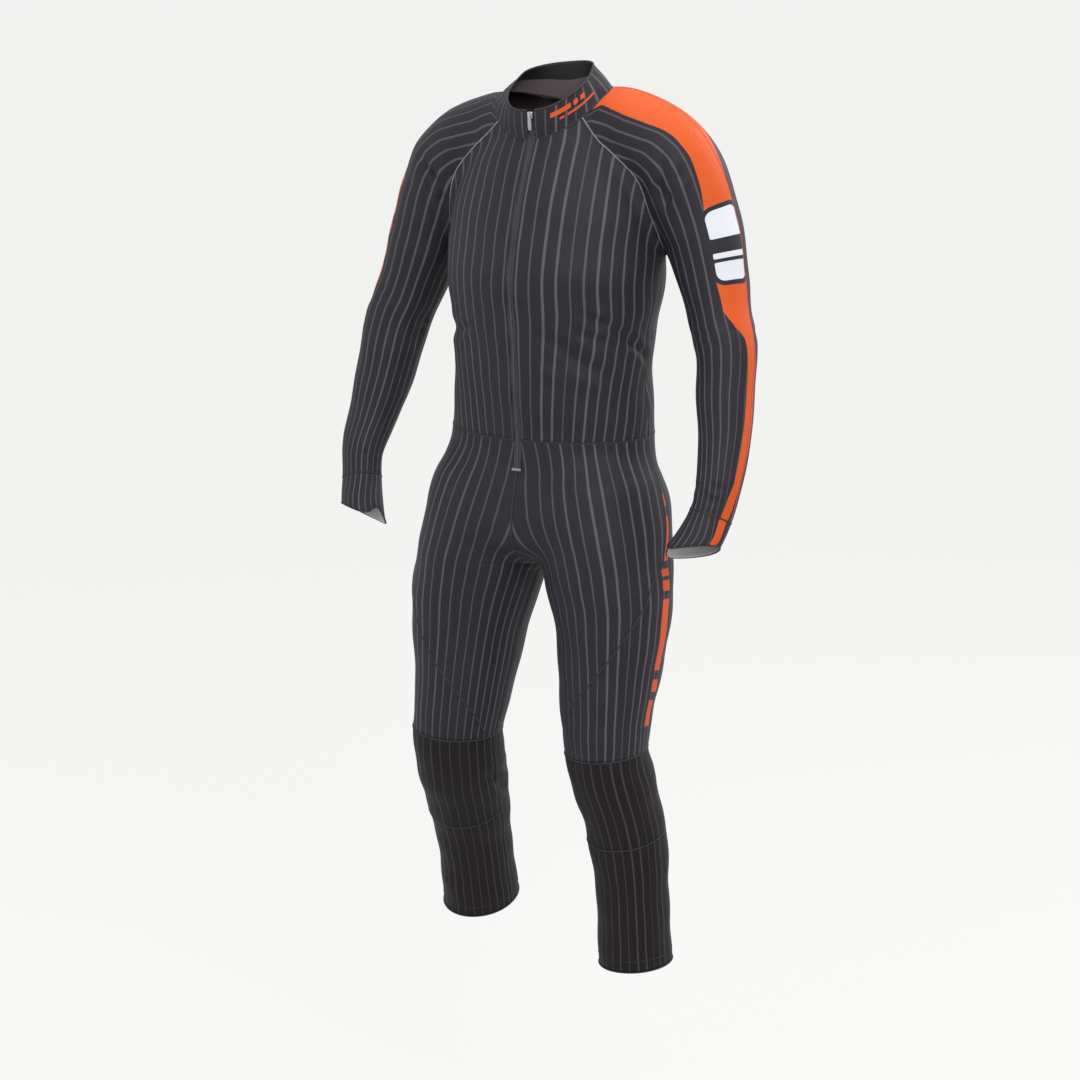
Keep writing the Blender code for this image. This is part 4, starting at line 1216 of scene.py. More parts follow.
    def seat_seam(self, seat: dict, side: int, behind: bool) -> np.ndarray:
        """The middle seam of the trousers, in front or behind."""
        hub = self.trunk_axis(seat["seam_z"])
        if not behind:
            hub[:, 0] = np.where(seat["seam_z"] > ZIP_FOOT - 0.001, ZIP_HALF * side, 0.0)
        drop = np.radians(seat["drop"])
        way = 1.0 if behind else -1.0
        ray = np.stack([np.zeros(len(drop)), way * np.cos(drop), -np.sin(drop)], axis=-1)
        return self.form.cast(hub, ray, "hips")

    def leg(self, side: int) -> None:
        """One trouser half: front and back thigh, knee, shin and calf.

        Args:
            side: 1 for the left leg, -1 for the right one.
        """
        form, tube = self.form, self.form.legs[side]
        rows = smooth_curve(SEAT, np.linspace(0, len(SEAT) - 1, 9))
        seat = dict(zip(SEAT_COLUMNS, rows.T))
        seat_rows = len(rows)
        crotch = form.cast(np.array([CROTCH_OVER]), np.array([[0.0, 0.0, -1.0]]), "hips")[0]
        crotch_row = tube.row_square_to(crotch, CROTCH_BETWEEN, upright=True)
        thigh = np.linspace(crotch_row + THIGH_FROM, KNEE_ROW, 11)
        places = np.concatenate([crotch_row + np.array(CROTCH_STEPS), thigh])
        centre, along = tube.place(places)
        along[:, 0] *= np.clip((places - crotch_row) / LEG_TURNS_OVER, 0.0, 1.0)
        along = unit(along)
        front, back = (self.seat_seam(seat, side, behind) for behind in (False, True))
        seat_height = (front[:, 2] + back[:, 2]) / 2
        seat_origin = np.stack([seat["origin_x"] * side, seat["origin_y"], seat_height], axis=-1)
        down = np.array([0.0, 0.0, -1.0])
        seat_along = unit(down + (along[0] - down) * seat["lean"][:, None])
        origin = np.concatenate([seat_origin, centre])
        limb = Limb(origin, np.concatenate([seat_along, along]), side)
        limb.set_edges(*(np.concatenate([seam, crotch[None]]) for seam in (front, back)))
        above = np.linspace(THIGH_SEAM[0][0], 0, seat_rows, endpoint=False)
        seam_rows = np.concatenate([above, places - crotch_row])
        table = dict(zip(THIGH_SEAM_COLUMNS, np.array(THIGH_SEAM, dtype=float).T))
        spot = np.interp(seam_rows, table["row"], np.arange(len(THIGH_SEAM)))
        seam = smooth_curve(table["angle"][:, None], spot)[:, 0]
        name = side_name(side)
        for piece, left, right, columns in (
            ("thigh_front", limb.first_angle, seam, THIGH_COLUMNS[0]),
            ("thigh_back", seam, limb.last_angle, THIGH_COLUMNS[1]),
        ):
            angles = limb.angles_between(left, right, columns)
            grid = form.cast(limb.origin[:, None], limb.directions(angles), "hips")
            around = leg_width(grid, side)
            self.add(f"{piece}_{name}", grid, around, seat_rows)
        knee = np.linspace(KNEE_ROW, SHIN_ROW, 10)
        shin = np.linspace(SHIN_ROW, HEM_ROW, 9)
        inner, outer = SHANK_SEAMS
        for piece, places, ends in (
            ("knee", knee, (inner, outer)),
            ("shin", shin, (inner, outer)),
            ("calf", np.concatenate([knee, shin[1:]]), (outer, inner + 360)),
        ):
            centre, along = tube.place(places)
            shank = Limb(centre, along, side)
            angles = shank.angles_between(*ends, SHANK_COLUMNS)
            grid = form.cast(shank.origin[:, None], shank.directions(angles), "hips")
            self.add(f"{piece}_{name}", grid, np.radians(angles) * SHANK_RADIUS, len(knee) - 1)

    def collar(self) -> None:
        """The stand-up band, from one side of the zip round to the other."""
        angles = np.concatenate([[COLLAR_END], np.linspace(*COLLAR_SIDES), [360 - COLLAR_END]])
        signed = np.where(angles > 180, angles - 360, angles)
        seam = neck_seam(self.form, signed)
        rim = collar_points(signed, 1.0)
        parts = np.linspace(0, 1, 5)[:, None, None]
        line = seam + (rim - seam) * parts
        outer = line + COLLAR_PUFF * np.sin(np.pi * parts) * unit(line - np.array(COLLAR_AXIS))
        around = np.broadcast_to(np.radians(angles) * COLLAR_RADIUS, outer.shape[:2])
        self.add("collar", outer, around)

    def all(self) -> dict:
        """Works out every piece and gives them by name."""
        self.bodice()
        self.collar()
        for side in (1, -1):
            self.sleeve(side)
            self.leg(side)
        return self.patches


class Inside(Enum):
    """What the inside of a cloth piece is finished with."""

    LINING = "lining"
    COLLAR_BAND = "collar_band"
    CUFF_FACING = "cuff_facing"


@dataclass(frozen=True)
class ClothFinish:
    """Warp-knit polyamide and elastane with woven-in stripes: matt, with a faint sheen.

    Attributes:
        ground: Colour of the cloth.
        stripe: Colour of the lengthwise stripes.
        pitch: Metres between stripes.
        stripe_width: Width of a stripe in metres.
        roughness: How broad its highlights are.
        gloss: Strength of its highlights.
        sheen: Strength of the fibres' glow at grazing angles.
        narrowest: Least width of a stripe, as a share of stripe_width.
        width_spread: Share of stripe_width's half by which some stripes are wider.
        palest: Strength of the weakest stripe, the strongest being 1.
        soft: Half the width of a stripe's soft edge.
        shaded: Share of its light that the dye keeps where it is darkest.
        patches: Scale of the dye's unevenness.
        rib: Metres between the knit's ribs, which are drawn as fine as they show.
    """

    ground: str = "#1f1d23"
    stripe: str = "#4b454d"
    pitch: float = 0.0155
    stripe_width: float = 0.0026
    roughness: float = 0.62
    gloss: float = 0.19
    sheen: float = 0.04
    narrowest: float = 0.75
    width_spread: float = 0.6
    palest: float = 0.62
    soft: float = 0.0004
    shaded: float = 0.78
    patches: float = 9.0
    rib: float = 0.0013


@dataclass(frozen=True)
class ThreadFinish:
    """Spun polyester overlock thread: matt, with a slanting stitch every few millimetres and
    painted shading in the gaps between stitches.

    Attributes:
        colour: Colour of the thread.
        painted_gap_shading: Colour of the gaps between stitches, darker than the thread as painted
            shading where the gaps lie in shadow.
        stitch: Metres between stitches.
        depth: Depth of the gaps.
        strength: Strength of the relief.
        roughness: How broad its highlights are.
    """

    colour: str
    painted_gap_shading: str
    stitch: float = 0.0028
    depth: float = 0.0004
    strength: float = 0.7
    roughness: float = 0.7


# Fine knit of all cloth, drawn coarse enough to show: stitches per metre, relief and its strength
KNIT_SCALE = 1500.0
KNIT_DEPTH = 0.0002
STRIPED_KNIT_DEPTH = 0.00022
KNIT_STRENGTH = 0.6
KNIT_DETAIL = 2.0
RIB_SHARE = 0.30
THREAD_SLANT = 0.6
PLAIN_PATCHES = 60.0
PLAIN_SHADED = 0.8


def linear(colour: str) -> tuple:
    """Turns an sRGB hex colour into linear numbers with alpha 1."""
    parts = [int(colour[i : i + 2], 16) / 255 for i in (1, 3, 5)]
    light = (p / 12.92 if p <= 0.04045 else ((p + 0.055) / 1.055) ** 2.4 for p in parts)
    return tuple(light) + (1.0,)


def dimmer(colour: str, share: float) -> tuple:
    """A share of an sRGB hex colour's light, with alpha 1."""
    return tuple(share * part for part in linear(colour)[:3]) + (1.0,)


def add_node(tree: bpy.types.NodeTree, kind: str, links: dict = None, **settings) -> bpy.types.Node:
    """Adds one node, sets its properties and sockets, and links its inputs.

    Args:
        tree: The material's node tree.
        kind: Blender's name of the node type.
        links: Socket name or number to an output socket or a value.
        settings: Properties of the node.

    Returns:
        The node.
    """
    node = tree.nodes.new(kind)
    for name, value in settings.items():
        setattr(node, name, value)
    for name, value in (links or {}).items():
        if isinstance(value, bpy.types.NodeSocket):
            tree.links.new(value, node.inputs[name])
        else:
            node.inputs[name].default_value = value
    return node


def maths(tree: bpy.types.NodeTree, operation: str, *values) -> bpy.types.NodeSocket:
    """One step of arithmetic on sockets or numbers, as an output socket."""
    return add_node(tree, "ShaderNodeMath", dict(enumerate(values)), operation=operation).outputs[0]


def mixed(tree: bpy.types.NodeTree, share, first, second) -> bpy.types.NodeSocket:
    """A colour between two colours, by a share."""
    node = add_node(tree, "ShaderNodeMix", {0: share, 6: first, 7: second}, data_type="RGBA")
    return node.outputs[2]


def object_place(tree: bpy.types.NodeTree) -> bpy.types.NodeSocket:
    """Object coordinates, as an output socket."""
    return add_node(tree, "ShaderNodeTexCoord").outputs["Object"]


def cloth_place(tree: bpy.types.NodeTree) -> bpy.types.NodeSocket:
    """Cloth coordinates in metres, as an output socket."""
    return add_node(tree, "ShaderNodeUVMap", uv_map="cloth").outputs[0]


def noise(tree: bpy.types.NodeTree, place: bpy.types.NodeSocket, scale: float,
          detail: float = 3.0) -> bpy.types.NodeSocket:
    """Soft random values between 0 and 1, as an output socket."""
    links = {"Vector": place, "Scale": scale, "Detail": detail}
    return add_node(tree, "ShaderNodeTexNoise", links).outputs["Fac"]


def new_material(name: str, sockets: dict) -> tuple:
    """A material with constants on its Principled shader.

    Args:
        name: The material's name.
        sockets: Value of each socket, by the socket's name.

    Returns:
        The material, its tree and its shader.
    """
    made = bpy.data.materials.new(name)
    made.use_nodes = True
    shader = made.node_tree.nodes["Principled BSDF"]
    for socket, value in sockets.items():
        shader.inputs[socket].default_value = value
    return made, made.node_tree, shader


def relief(tree: bpy.types.NodeTree, shader: bpy.types.Node, height: bpy.types.NodeSocket,
           depth: float, strength: float) -> None:
    """Links a height to the shader as bump.

    Args:
        tree: The material's node tree.
        shader: The Principled shader.
        height: Height between 0 and 1.
        depth: Depth in metres.
        strength: Strength of the bump.
    """
    links = {"Height": height, "Distance": depth, "Strength": strength}
    bump = add_node(tree, "ShaderNodeBump", links)
    tree.links.new(bump.outputs[0], shader.inputs["Normal"])


def ridges(tree: bpy.types.NodeTree, shader: bpy.types.Node, run: bpy.types.NodeSocket,
           finish: "ThreadFinish") -> None:
    """Turns or stitches that repeat along a run: a sine wave drives the bump, and the colour as
    painted shading that darkens each trough.

    Args:
        tree: The material's node tree.
        shader: The Principled shader.
        run: Metres along the run.
        finish: Colours of the crests and of the painted shading in the troughs, spacing and relief.
    """
    wave = maths(tree, "SINE", maths(tree, "MULTIPLY", run, 2 * math.pi / finish.stitch))
    share = maths(tree, "ADD", maths(tree, "MULTIPLY", wave, 0.5), 0.5)
    # Painted shading: the troughs between turns or stitches take the darker colour, as if in
    # shadow.
    colour = mixed(tree, share, linear(finish.painted_gap_shading), linear(finish.colour))
    tree.links.new(colour, shader.inputs["Base Color"])
    relief(tree, shader, share, finish.depth, finish.strength)


class Wardrobe:
    """Makes and keeps the materials."""

    def __init__(self) -> None:
        """Makes every finish once."""
        lower = ClothFinish("#191517", "#373235", 0.0137, 0.0022, gloss=0.12, sheen=0.02)
        # Each thread's second colour is painted shading for the gaps between its stitches.
        dark, pale = ThreadFinish("#1a181c", "#0d0c0e"), ThreadFinish("#85848c", "#3a383e")
        orange = ThreadFinish("#b04514", "#96390f")
        grey = "#514548"
        self.cloth = self.make_cloth("knit_striped_charcoal", ClothFinish())
        self.lower = self.make_cloth("knit_striped_lower_leg", lower)
        self.lining = self.make_plain("tricot_lining_warm_grey", grey, 0.75)
        self.band = self.make_plain("collar_facing_black", "#0a0607", 0.7, below=grey)
        self.facing = self.make_plain("cuff_facing_pale_grey", "#a6a2a4", 0.75)
        self.dark_thread = self.make_thread("overlock_thread_black", dark)
        self.pale_thread = self.make_thread("flatlock_thread_grey", pale)
        self.orange_thread = self.make_thread("flatlock_thread_orange", orange)
        self.coil = self.make_coil()
        self.tape = self.make_plain("zip_tape_polyester", "#1b1c25", 0.6, scale=2600.0)
        self.metal = self.make_metal()

    def make_cloth(self, name: str, finish: ClothFinish) -> bpy.types.Material:
        """Striped stretch cloth with its printed fields, from the piece's cloth coordinates.

        Args:
            name: The material's name.
            finish: Colours and pitch.

        Returns:
            The material.
        """
        made, tree, shader = new_material(name, {
            "Roughness": finish.roughness,
            "Specular IOR Level": finish.gloss,
            "Sheen Weight": finish.sheen,
            "Sheen Roughness": 0.45,
            "Sheen Tint": linear("#b9b2c4"),
        })
        place = cloth_place(tree)
        across = add_node(tree, "ShaderNodeSeparateXYZ", {0: place}).outputs[0]
        share = self.stripes(tree, across, finish)
        tone = noise(tree, place, finish.patches)
        ground = mixed(tree, tone, dimmer(finish.ground, finish.shaded), linear(finish.ground))
        colour = mixed(tree, share, ground, linear(finish.stripe))
        for print_name, ink in INKS.items():
            mask = add_node(tree, "ShaderNodeAttribute", attribute_name=print_name).outputs["Fac"]
            links = {0: mask, 1: PRINT_EDGE[0], 2: PRINT_EDGE[1]}
            edge = add_node(tree, "ShaderNodeMapRange", links).outputs[0]
            colour = mixed(tree, edge, colour, linear(ink))
        tree.links.new(colour, shader.inputs["Base Color"])
        ribs = maths(tree, "SINE", maths(tree, "MULTIPLY", across, 2 * math.pi / finish.rib))
        knit = noise(tree, object_place(tree), KNIT_SCALE, KNIT_DETAIL)
        height = maths(tree, "ADD", knit, maths(tree, "MULTIPLY", ribs, RIB_SHARE))
        relief(tree, shader, height, STRIPED_KNIT_DEPTH, KNIT_STRENGTH)
        return made

    def stripes(self, tree: bpy.types.NodeTree, across: bpy.types.NodeSocket,
                finish: ClothFinish) -> bpy.types.NodeSocket:
        """How much of the stripe's colour shows: each stripe has a width and a strength by chance.

        Args:
            tree: The material's node tree.
            across: Metres across the cloth.
            finish: Colours and pitch.

        Returns:
            A share between 0 and 1.
        """
        turns = maths(tree, "DIVIDE", across, finish.pitch)
        number = maths(tree, "FLOOR", turns)
        away = maths(tree, "ABSOLUTE", maths(tree, "SUBTRACT", maths(tree, "FRACT", turns), 0.5))
        chance = add_node(
            tree, "ShaderNodeTexWhiteNoise", {"W": number}, noise_dimensions="1D"
        ).outputs["Value"]
        half = finish.stripe_width / 2
        wider = maths(tree, "MULTIPLY", chance, half * finish.width_spread)
        width = maths(tree, "ADD", half * finish.narrowest, wider)
        inside = maths(tree, "SUBTRACT", width, maths(tree, "MULTIPLY", away, finish.pitch))
        share = add_node(
            tree, "ShaderNodeMapRange", {0: inside, 1: -finish.soft, 2: finish.soft},
            interpolation_type="SMOOTHSTEP",
        ).outputs[0]
        stronger = maths(tree, "MULTIPLY", chance, 1 - finish.palest)
        return maths(tree, "MULTIPLY", share, maths(tree, "ADD", finish.palest, stronger))

    def make_plain(self, name: str, colour: str, roughness: float, scale: float = KNIT_SCALE,
                   below: str = "") -> bpy.types.Material:
        """Plain knitted or woven cloth: one dye, a fine relief and slight unevenness.

        Args:
            name: The material's name.
            colour: Its colour.
            roughness: How broad its highlights are.
            scale: Stitches per metre.
            below: Colour of the part below the collar's band, where there is one.

        Returns:
            The material.
        """
        made, tree, shader = new_material(name, {"Roughness": roughness})
        place = object_place(tree)
        tone = noise(tree, place, PLAIN_PATCHES)
        dyed = mixed(tree, tone, dimmer(colour, PLAIN_SHADED), linear(colour))
        if below:
            height = add_node(tree, "ShaderNodeSeparateXYZ", {0: cloth_place(tree)}).outputs[1]
            links = {0: height, 1: BAND_FROM - BAND_EDGE, 2: BAND_FROM}
            share = add_node(tree, "ShaderNodeMapRange", links).outputs[0]
            dyed = mixed(tree, share, linear(below), dyed)
        tree.links.new(dyed, shader.inputs["Base Color"])
        relief(tree, shader, noise(tree, place, scale, KNIT_DETAIL), KNIT_DEPTH, KNIT_STRENGTH)
        return made

    def make_thread(self, name: str, finish: ThreadFinish) -> bpy.types.Material:
        """Overlock stitches as slanting ridges along the seam, with painted shading in the gaps
        between them.

        Args:
            name: The material's name.
            finish: Colours and stitch length.

        Returns:
            The material.
        """
        made, tree, shader = new_material(name, {"Roughness": finish.roughness})
        parts = add_node(tree, "ShaderNodeSeparateXYZ", {0: cloth_place(tree)})
        slant = maths(tree, "MULTIPLY", parts.outputs[0], THREAD_SLANT)
        ridges(tree, shader, maths(tree, "ADD", parts.outputs[1], slant), finish)
        return made

    def make_coil(self) -> bpy.types.Material:
        """Moulded polyamide coil: glossy black turns, drawn 2.4 mm apart so that they show, with
        painted shading between the turns.
        """
        # The second colour is painted shading for the gaps between the turns.
        finish = ThreadFinish("#2c2d3a", "#0c0c11", 0.0024, 0.0006, 0.8, 0.38)
        made, tree, shader = new_material("zip_coil_polyamide", {"Roughness": finish.roughness})
        parts = add_node(tree, "ShaderNodeSeparateXYZ", {0: object_place(tree)})
        slant = maths(tree, "ABSOLUTE", parts.outputs[0])
        ridges(tree, shader, maths(tree, "ADD", parts.outputs[2], slant), finish)
        return made

    def make_metal(self) -> bpy.types.Material:
        """Die-cast zinc alloy, tumbled and nickel plated: bright, with soft fine scratches."""
        sockets = {"Base Color": linear("#a3a4aa"), "Metallic": 1.0}
        made, tree, shader = new_material("zinc_alloy_nickel_plated", sockets)
        grain = noise(tree, object_place(tree), 900.0)
        rough = add_node(tree, "ShaderNodeMapRange", {0: grain, 3: 0.22, 4: 0.38}).outputs[0]
        tree.links.new(rough, shader.inputs["Roughness"])
        return made


def quad_faces(corners: np.ndarray) -> np.ndarray:
    """Four-cornered faces of a grid of vertex numbers."""
    low, high = corners[:-1], corners[1:]
    return np.stack([low[:, :-1], high[:, :-1], high[:, 1:], low[:, 1:]], axis=-1).reshape(-1, 4)


def ring_faces(rows: int, columns: int) -> np.ndarray:
    """Four-cornered faces of rows of points that each close to a ring, outwards."""
    numbers = np.arange(rows * columns).reshape(rows, columns)
    return quad_faces(np.concatenate([numbers, numbers[:, :1]], axis=1))[:, ::-1]


def make_mesh(name: str, points: np.ndarray, faces: np.ndarray, finishes: list,
              slots: np.ndarray = None, cloth: np.ndarray = None, fields: dict = None,
              welds: np.ndarray = None) -> bpy.types.Object:
    """An object at the origin from whole arrays of points and faces.

    Args:
        name: The object's name.
        points: Vertices.
        faces: Corners of each face.
        finishes: Materials.
        slots: Material number of each face.
        cloth: Cloth coordinates of each vertex, in metres.
        fields: Named numbers of each vertex.
        welds: The vertex that each vertex is joined to.

    Returns:
        The object.
    """
    mesh = bpy.data.meshes.new(name)
    welds = np.arange(len(points)) if welds is None else welds
    used, joined = np.unique(welds, return_inverse=True)
    mesh.from_pydata(points[used].tolist(), [], joined[faces].tolist())
    for finish in finishes:
        mesh.materials.append(finish)
    if slots is not None:
        mesh.polygons.foreach_set("material_index", slots.astype(np.int32))
    if cloth is not None:
        layer = mesh.uv_layers.new(name="cloth")
        layer.data.foreach_set("uv", cloth[faces.ravel()].astype(np.float32).ravel())
    for key, values in (fields or {}).items():
        held = values[used].astype(np.float32)
        mesh.attributes.new(key, "FLOAT", "POINT").data.foreach_set("value", held)
    mesh.shade_smooth()
    mesh.update()
    made = bpy.data.objects.new(name, mesh)
    bpy.context.scene.collection.objects.link(made)
    LOG.info("%s: %d faces", name, len(faces))
    return made


@dataclass
class ClothPiece:
    """A thin shell over one patch, with its prints.

    Attributes:
        patch: The refined patch.
        finish: Material of the outside.
        inside: Material of the inside.
    """

    patch: Patch
    finish: bpy.types.Material
    inside: bpy.types.Material

    def build(self) -> bpy.types.Object:
        """Joins the outer grid to an inner one, a wall's thickness below it, along all edges.

        Returns:
            The cloth's object, declared as a sheet that stands for its CAD node.
        """
        patch = self.patch
        rows, columns = patch.fine.shape[:2]
        count = rows * columns
        outer = patch.fine.reshape(-1, 3)
        inner = (patch.fine - patch.normal * WALL).reshape(-1, 3)
        top = np.arange(count).reshape(rows, columns)
        under = top + count
        faces = [quad_faces(top), quad_faces(under)[:, ::-1]]
        rim = [(top[0], under[0]), (under[-1], top[-1])]
        if not patch.closed:
            rim += [(under[:, 0], top[:, 0]), (top[:, -1], under[:, -1])]
        for first, second in rim:
            faces.append(np.stack([first[:-1], first[1:], second[1:], second[:-1]], axis=-1))
        slots = np.zeros(sum(len(part) for part in faces))
        slots[len(faces[0]) : len(faces[0]) + len(faces[1])] = 1
        faces = np.concatenate(faces)
        a, b, c = (outer[faces[0, i]] for i in (0, 1, 2))
        if np.dot(np.cross(b - a, c - a), patch.normal[0, 0]) < 0:
            faces = faces[:, ::-1]
        welds = np.arange(2 * count)
        if patch.closed:
            welds[top[:, -1]] = top[:, 0]
            welds[under[:, -1]] = under[:, 0]
        fields = dict.fromkeys(INKS, np.full(2 * count, OFF_PRINT))
        fields.update({key: np.tile(value, 2) for key, value in self.marks().items()})
        cloth = patch.cloth.reshape(-1, 2).copy()
        if patch.name.startswith("sleeve"):
            lengths, bend = np.array(SLEEVE_BEND).T
            cloth[:, 0] -= np.interp(cloth[:, 1], lengths, bend)
        made = make_mesh(f"cloth_{patch.name}", np.concatenate([outer, inner]), faces,
                         [self.finish, self.inside], slots, np.tile(cloth, (2, 1)), fields, welds)
        self.declare(made)
        return made

    def marks(self) -> dict:
        """Fields of the piece's generic prints, worked out on its cloth coordinates."""
        cloth = self.patch.cloth.reshape(-1, 2)
        found = {}
        if self.patch.name.endswith("_left") and self.patch.name.startswith(("sleeve", "cuff")):
            band, stripe = (outline_distance(cloth, line) for line in (ORANGE_BAND, ORANGE_STRIPE))
            panel = panel_distance(cloth)
            bars = bar_distance(cloth - np.array(PANEL_MIDDLE), PANEL_BARS)
            found["orange"] = np.maximum(band, stripe)
            found["border"] = panel
            found["white"] = np.minimum(panel - PANEL_BORDER, -bars)
        bars = MARK_BARS.get(self.patch.name)
        if bars:
            found["mark"] = bar_distance(cloth, bars)
        return found

    def declare(self, made: bpy.types.Object) -> None:
        """Says what sheet of cloth the piece was cut from, and what it stands for."""
        fine = self.patch.fine
        down = np.linalg.norm(np.diff(fine, axis=0), axis=2).sum(axis=0).max()
        across = np.linalg.norm(np.diff(fine, axis=1), axis=2).sum(axis=1).max()
        one = np.cross(fine[1:, :-1] - fine[:-1, :-1], fine[:-1, 1:] - fine[:-1, :-1])
        two = np.cross(fine[:-1, 1:] - fine[1:, 1:], fine[1:, :-1] - fine[1:, 1:])
        area = (np.linalg.norm(one, axis=-1).sum() + np.linalg.norm(two, axis=-1).sum()) / 2
        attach(made, "suit")
        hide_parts(self.patch.name)
        sizes = (across * 1000, down * 1000, area)
        LOG.info("%s: %.0f by %.0f mm, %.3f square metres", self.patch.name, *sizes)


def panel_distance(place: np.ndarray) -> np.ndarray:
    """Signed distance to the rounded panel, positive inside: a box with its corners rounded off.

    Args:
        place: Points of the cloth.

    Returns:
        Distance of each point.
    """
    past = np.abs(place - np.array(PANEL_MIDDLE)) - np.array(PANEL_HALF) + PANEL_CORNER
    outside = np.linalg.norm(np.maximum(past, 0.0), axis=-1)
    return PANEL_CORNER - outside - np.minimum(past.max(axis=-1), 0.0)


def bar_distance(place: np.ndarray, bars: tuple) -> np.ndarray:
    """Signed distance to the nearest of several upright bars, positive inside.

    Args:
        place: Points of the cloth.
        bars: Lowest across and along, then highest across and along, in metres.

    Returns:
        Distance of each point.
    """
    total = np.full(len(place), OFF_PRINT)
    for left, top, right, bottom in bars:
        middle = np.array([(left + right) / 2, (top + bottom) / 2])
        half = np.array([(right - left) / 2, (bottom - top) / 2])
        total = np.maximum(total, (half - np.abs(place - middle)).min(axis=-1))
    return total


@dataclass
class SeamCord:
    """A low ridge of overlock stitches: an oval carried along a seam.

    Attributes:
        name: The object's name.
        points: The seam's line.
        normals: Outward directions along it.
        width: Width of the ridge.
        height: How far it stands up.
        finish: Its thread.
        lift: How far its middle lies above the cloth.
        sides: Points round the oval.
    """

    name: str
    points: np.ndarray
    normals: np.ndarray
    width: float
    height: float
    finish: bpy.types.Material
    lift: float = 0.0001
    sides: int = 8

    def build(self) -> bpy.types.Object:
        """Carries eight points of an oval along the line, and joins its ends or closes each."""
        run = unit(np.gradient(self.points, axis=0))
        across = unit(np.cross(self.normals, run))
        turn = np.linspace(0, 2 * np.pi, self.sides + 1)[:-1]
        oval = (
            np.cos(turn)[None, :, None] * across[:, None] * self.width / 2
            + np.sin(turn)[None, :, None] * self.normals[:, None] * self.height
        )
        rings = self.points[:, None] + oval + self.normals[:, None] * self.lift
        rows = len(rings)
        faces = ring_faces(rows, self.sides)
        welds = np.arange(rows * self.sides)
        if np.linalg.norm(self.points[-1] - self.points[0]) < self.width / 10:
            welds[-self.sides :] = welds[: self.sides]
        else:
            ends = np.array([[0, 1, 2, 3], [0, 3, 4, 7], [4, 5, 6, 7]])
            faces = np.concatenate([faces, ends[:, ::-1], ends + welds[-self.sides]])
        along = run_length(self.points[:, None].repeat(2, axis=1), 0)
        side = np.sin(turn / 2)[None] * self.width
        cloth = np.stack(np.broadcast_arrays(side, along[:, None]), axis=-1)
        made = make_mesh(self.name, rings.reshape(-1, 3), faces, [self.finish],
                         cloth=cloth.reshape(-1, 2), welds=welds)
        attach(made, "suit")
        return made


